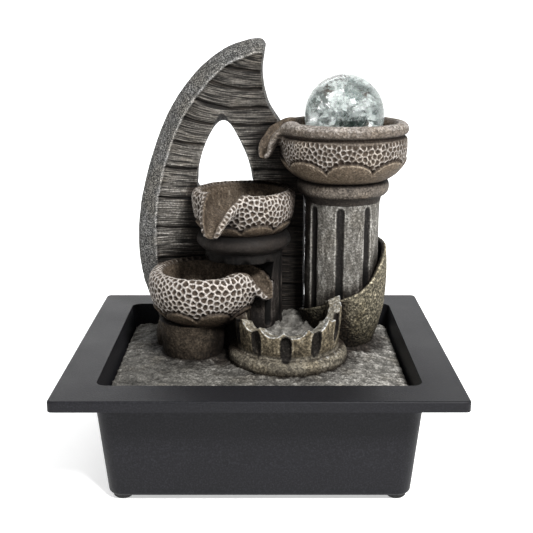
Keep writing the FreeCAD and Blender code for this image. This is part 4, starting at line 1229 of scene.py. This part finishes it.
def build():
    finish = {name: stone_finish(name, *values) for name, values in STONES.items()}
    # deep: the darkest copy of the grey stone, painted shade for the middle column and its collar
    bowl, deep = finish["bowl_stone_cast"], finish["cast_stone_deep_shade"]
    top_bowl, middle_bowl, lower_bowl = make_top_bowl(), make_middle_bowl(), make_lower_bowl()
    main, mid = make_columns()
    capital, collar = make_mouldings()
    for piece, node, slot_name, stone in (
            (top_bowl, "top_bowl", "bowl_stone", bowl),
            (middle_bowl, "middle_bowl", "bowl_stone", bowl),
            (lower_bowl, "lower_bowl", "bowl_stone", bowl),
            (main, "main_column", "cast_stone", finish["cast_stone_grey"]),
            (mid, "middle_column", "cast_stone", deep),
            (capital, "main_capital", "cast_stone", finish["cast_stone_shaded"]),
            (collar, "middle_collar", "cast_stone", deep),
            (make_pedestal(), "lower_pedestal", "cast_stone", finish["pedestal_stone_cast"]),
            (make_fin(), "crescent_fin", "fin_stone", fin_stone()),
            (make_horn(), "horn_shell", "fin_stone", finish["horn_stone_cast"]),
            (make_pool(), "front_pool", "pool_stone", finish["pool_stone_cast"]),
            (make_plinth(), "rock_plinth", "deck_stone", finish["rock_stone_cast"]),
            (make_deck(), "deck_casting", "deck_stone", finish["deck_stone_cast"])):
        place(piece, "sculpture", node, slot_name, stone)
    wash_and_shade_recesses([o for o in bpy.data.objects if o.type == "MESH" and "relief" in o.data.attributes])
    glass, flakes = make_ball()
    glass_finish = clear("ball_clear_glass", (0.97, 0.99, 0.985), 0.02)
    place(glass, "glass_ball", "glass_ball", "crackle_glass", glass_finish)
    place(flakes, "glass_ball", "glass_ball", "crackle_glass", flake_finish())


def dress_cad_nodes():
    """Procedural finishes for the CAD nodes that show as they are."""
    finishes = {
        moulded_plastic("basin_black", srgb(21, 21, 24), 0.50, 1100.0, 0.35, 0.15): ["basin"],
        moulded_plastic("foot_rubber", srgb(30, 30, 30), 0.75, 2200.0, 0.4):
            ["foot_front_left", "foot_rear_left", "foot_front_right", "foot_rear_right"]
            + ["suction_cup_%d" % n for n in (1, 2, 3, 4)],
        moulded_plastic("pump_black", srgb(28, 28, 30), 0.45):
            ["pump_housing", "volute_cover", "strainer_cover"],
        moulded_plastic("dial_grey", srgb(70, 72, 74), 0.4): ["flow_dial"],
        moulded_plastic("impeller_white", srgb(225, 225, 220), 0.4): ["impeller"],
        moulded_plastic("lamp_housing_black", srgb(32, 32, 34), 0.4): ["lamp_housing", "inlet_block"],
        moulded_plastic("inlet_ivory", srgb(60, 60, 62), 0.4): ["inlet_sleeve"],
        moulded_plastic("board_green", srgb(24, 74, 44), 0.35, 900.0, 0.2): ["lamp_board"],
        moulded_plastic("chip_white", srgb(240, 238, 220), 0.3): ["lamp_chips"],
        moulded_plastic("bush_ceramic", srgb(236, 234, 228), 0.25): ["bush_rear", "bush_front"],
        moulded_plastic("magnet_ferrite", srgb(52, 50, 50), 0.35, 2400.0, 0.3): ["rotor_magnet"],
        moulded_plastic("potting_black", srgb(22, 22, 24), 0.25): ["pump_potting"],
        moulded_plastic("lead_jacket_black", srgb(26, 26, 27), 0.5): ["lamp_lead", "pump_lead"],
        metal("core_steel_sheet", srgb(160, 160, 165), 0.35): ["stator_core"],
        metal("shaft_steel", srgb(200, 200, 205), 0.2): ["rotor_shaft"],
        metal("coil_copper", srgb(190, 110, 70), 0.3): ["stator_coil"],
        metal("pin_nickel", srgb(215, 210, 195), 0.2): ["inlet_pin"],
        clear("seat_clear", (0.95, 0.97, 0.97), 0.12): ["ball_seat", "lamp_window"],
        clear("hose_clear", (0.9, 0.93, 0.92), 0.15): ["water_hose"],
    }
    for material, names in finishes.items():
        for name in names:
            dress(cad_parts[name], material)


# ---------------------------------------------------------------- floor, lights and camera
def make_stage():
    """Pale paper sweep: flat under the object, then curving up far behind it."""
    line = [(-3.0, 0.0), (1.6, 0.0)] + [(1.6 + 1.2 * math.sin(a), 1.2 - 1.2 * math.cos(a))
            for a in np.radians(np.arange(5, 91, 5))] + [(2.8, 5.0)]
    points = [(side, y, z) for y, z in line for side in (-6.0, 6.0)]
    mesh = bpy.data.meshes.new("floor")
    mesh.from_pydata(points, [], [(2 * k, 2 * k + 1, 2 * k + 3, 2 * k + 2) for k in range(len(line) - 1)])
    for polygon in mesh.polygons:
        polygon.use_smooth = True
    floor = bpy.data.objects.new("floor", mesh)
    bpy.context.scene.collection.objects.link(floor)
    material, tree, shader = new_material("floor_paper")
    texture = noise_node(tree, 40.0, 2.0)
    colours = ramp_node(tree, texture.outputs[0], [(0.3, even(0.93)), (0.7, even(0.95))])
    tree.links.new(colours.outputs[0], shader.inputs["Base Color"])
    shader.inputs["Roughness"].default_value = 0.9
    shader.inputs["Specular IOR Level"].default_value = 0.1
    shader.inputs["Emission Color"].default_value = (1, 1, 1, 1)
    shader.inputs["Emission Strength"].default_value = 0.50
    dress(floor, material)


def add_light(name, place_at, target, size, watts):
    data = bpy.data.lights.new(name, "AREA")
    data.shape, data.size, data.energy = "SQUARE", size, watts
    light = bpy.data.objects.new(name, data)
    light.location = place_at
    direction = np.array(target) - np.array(place_at)
    yaw, pitch = math.atan2(direction[0], direction[1]), math.atan2(direction[2], np.hypot(*direction[:2]))
    light.rotation_euler = (math.pi / 2 + pitch, 0, -yaw)
    bpy.context.scene.collection.objects.link(light)


def make_camera_and_lights():
    scene = bpy.context.scene
    data = bpy.data.cameras.new("camera")
    data.lens, data.sensor_width = 60.58, 36.0
    camera = bpy.data.objects.new("camera", data)
    camera.location = (0.0037, -0.4973, 0.2466)
    camera.rotation_euler = (math.radians(74.74), 0, 0)
    scene.collection.objects.link(camera)
    scene.camera = camera
    world = bpy.data.worlds.new("world")
    scene.world = world
    world.use_nodes = True
    world.node_tree.nodes["Background"].inputs[0].default_value = (1, 1, 1, 1)
    world.node_tree.nodes["Background"].inputs[1].default_value = 0.47
    add_light("key", (0.44, -0.78, 0.98), target=(0.0, 0.0, 0.12), size=0.24, watts=26.0)
    add_light("fill_back", (-0.5, 2.2, 2.2), target=(0.0, 3.0, 1.0), size=1.5, watts=30.0)
    scene.view_settings.view_transform = "Standard"


build()
dress_cad_nodes()
make_stage()
make_camera_and_lights()
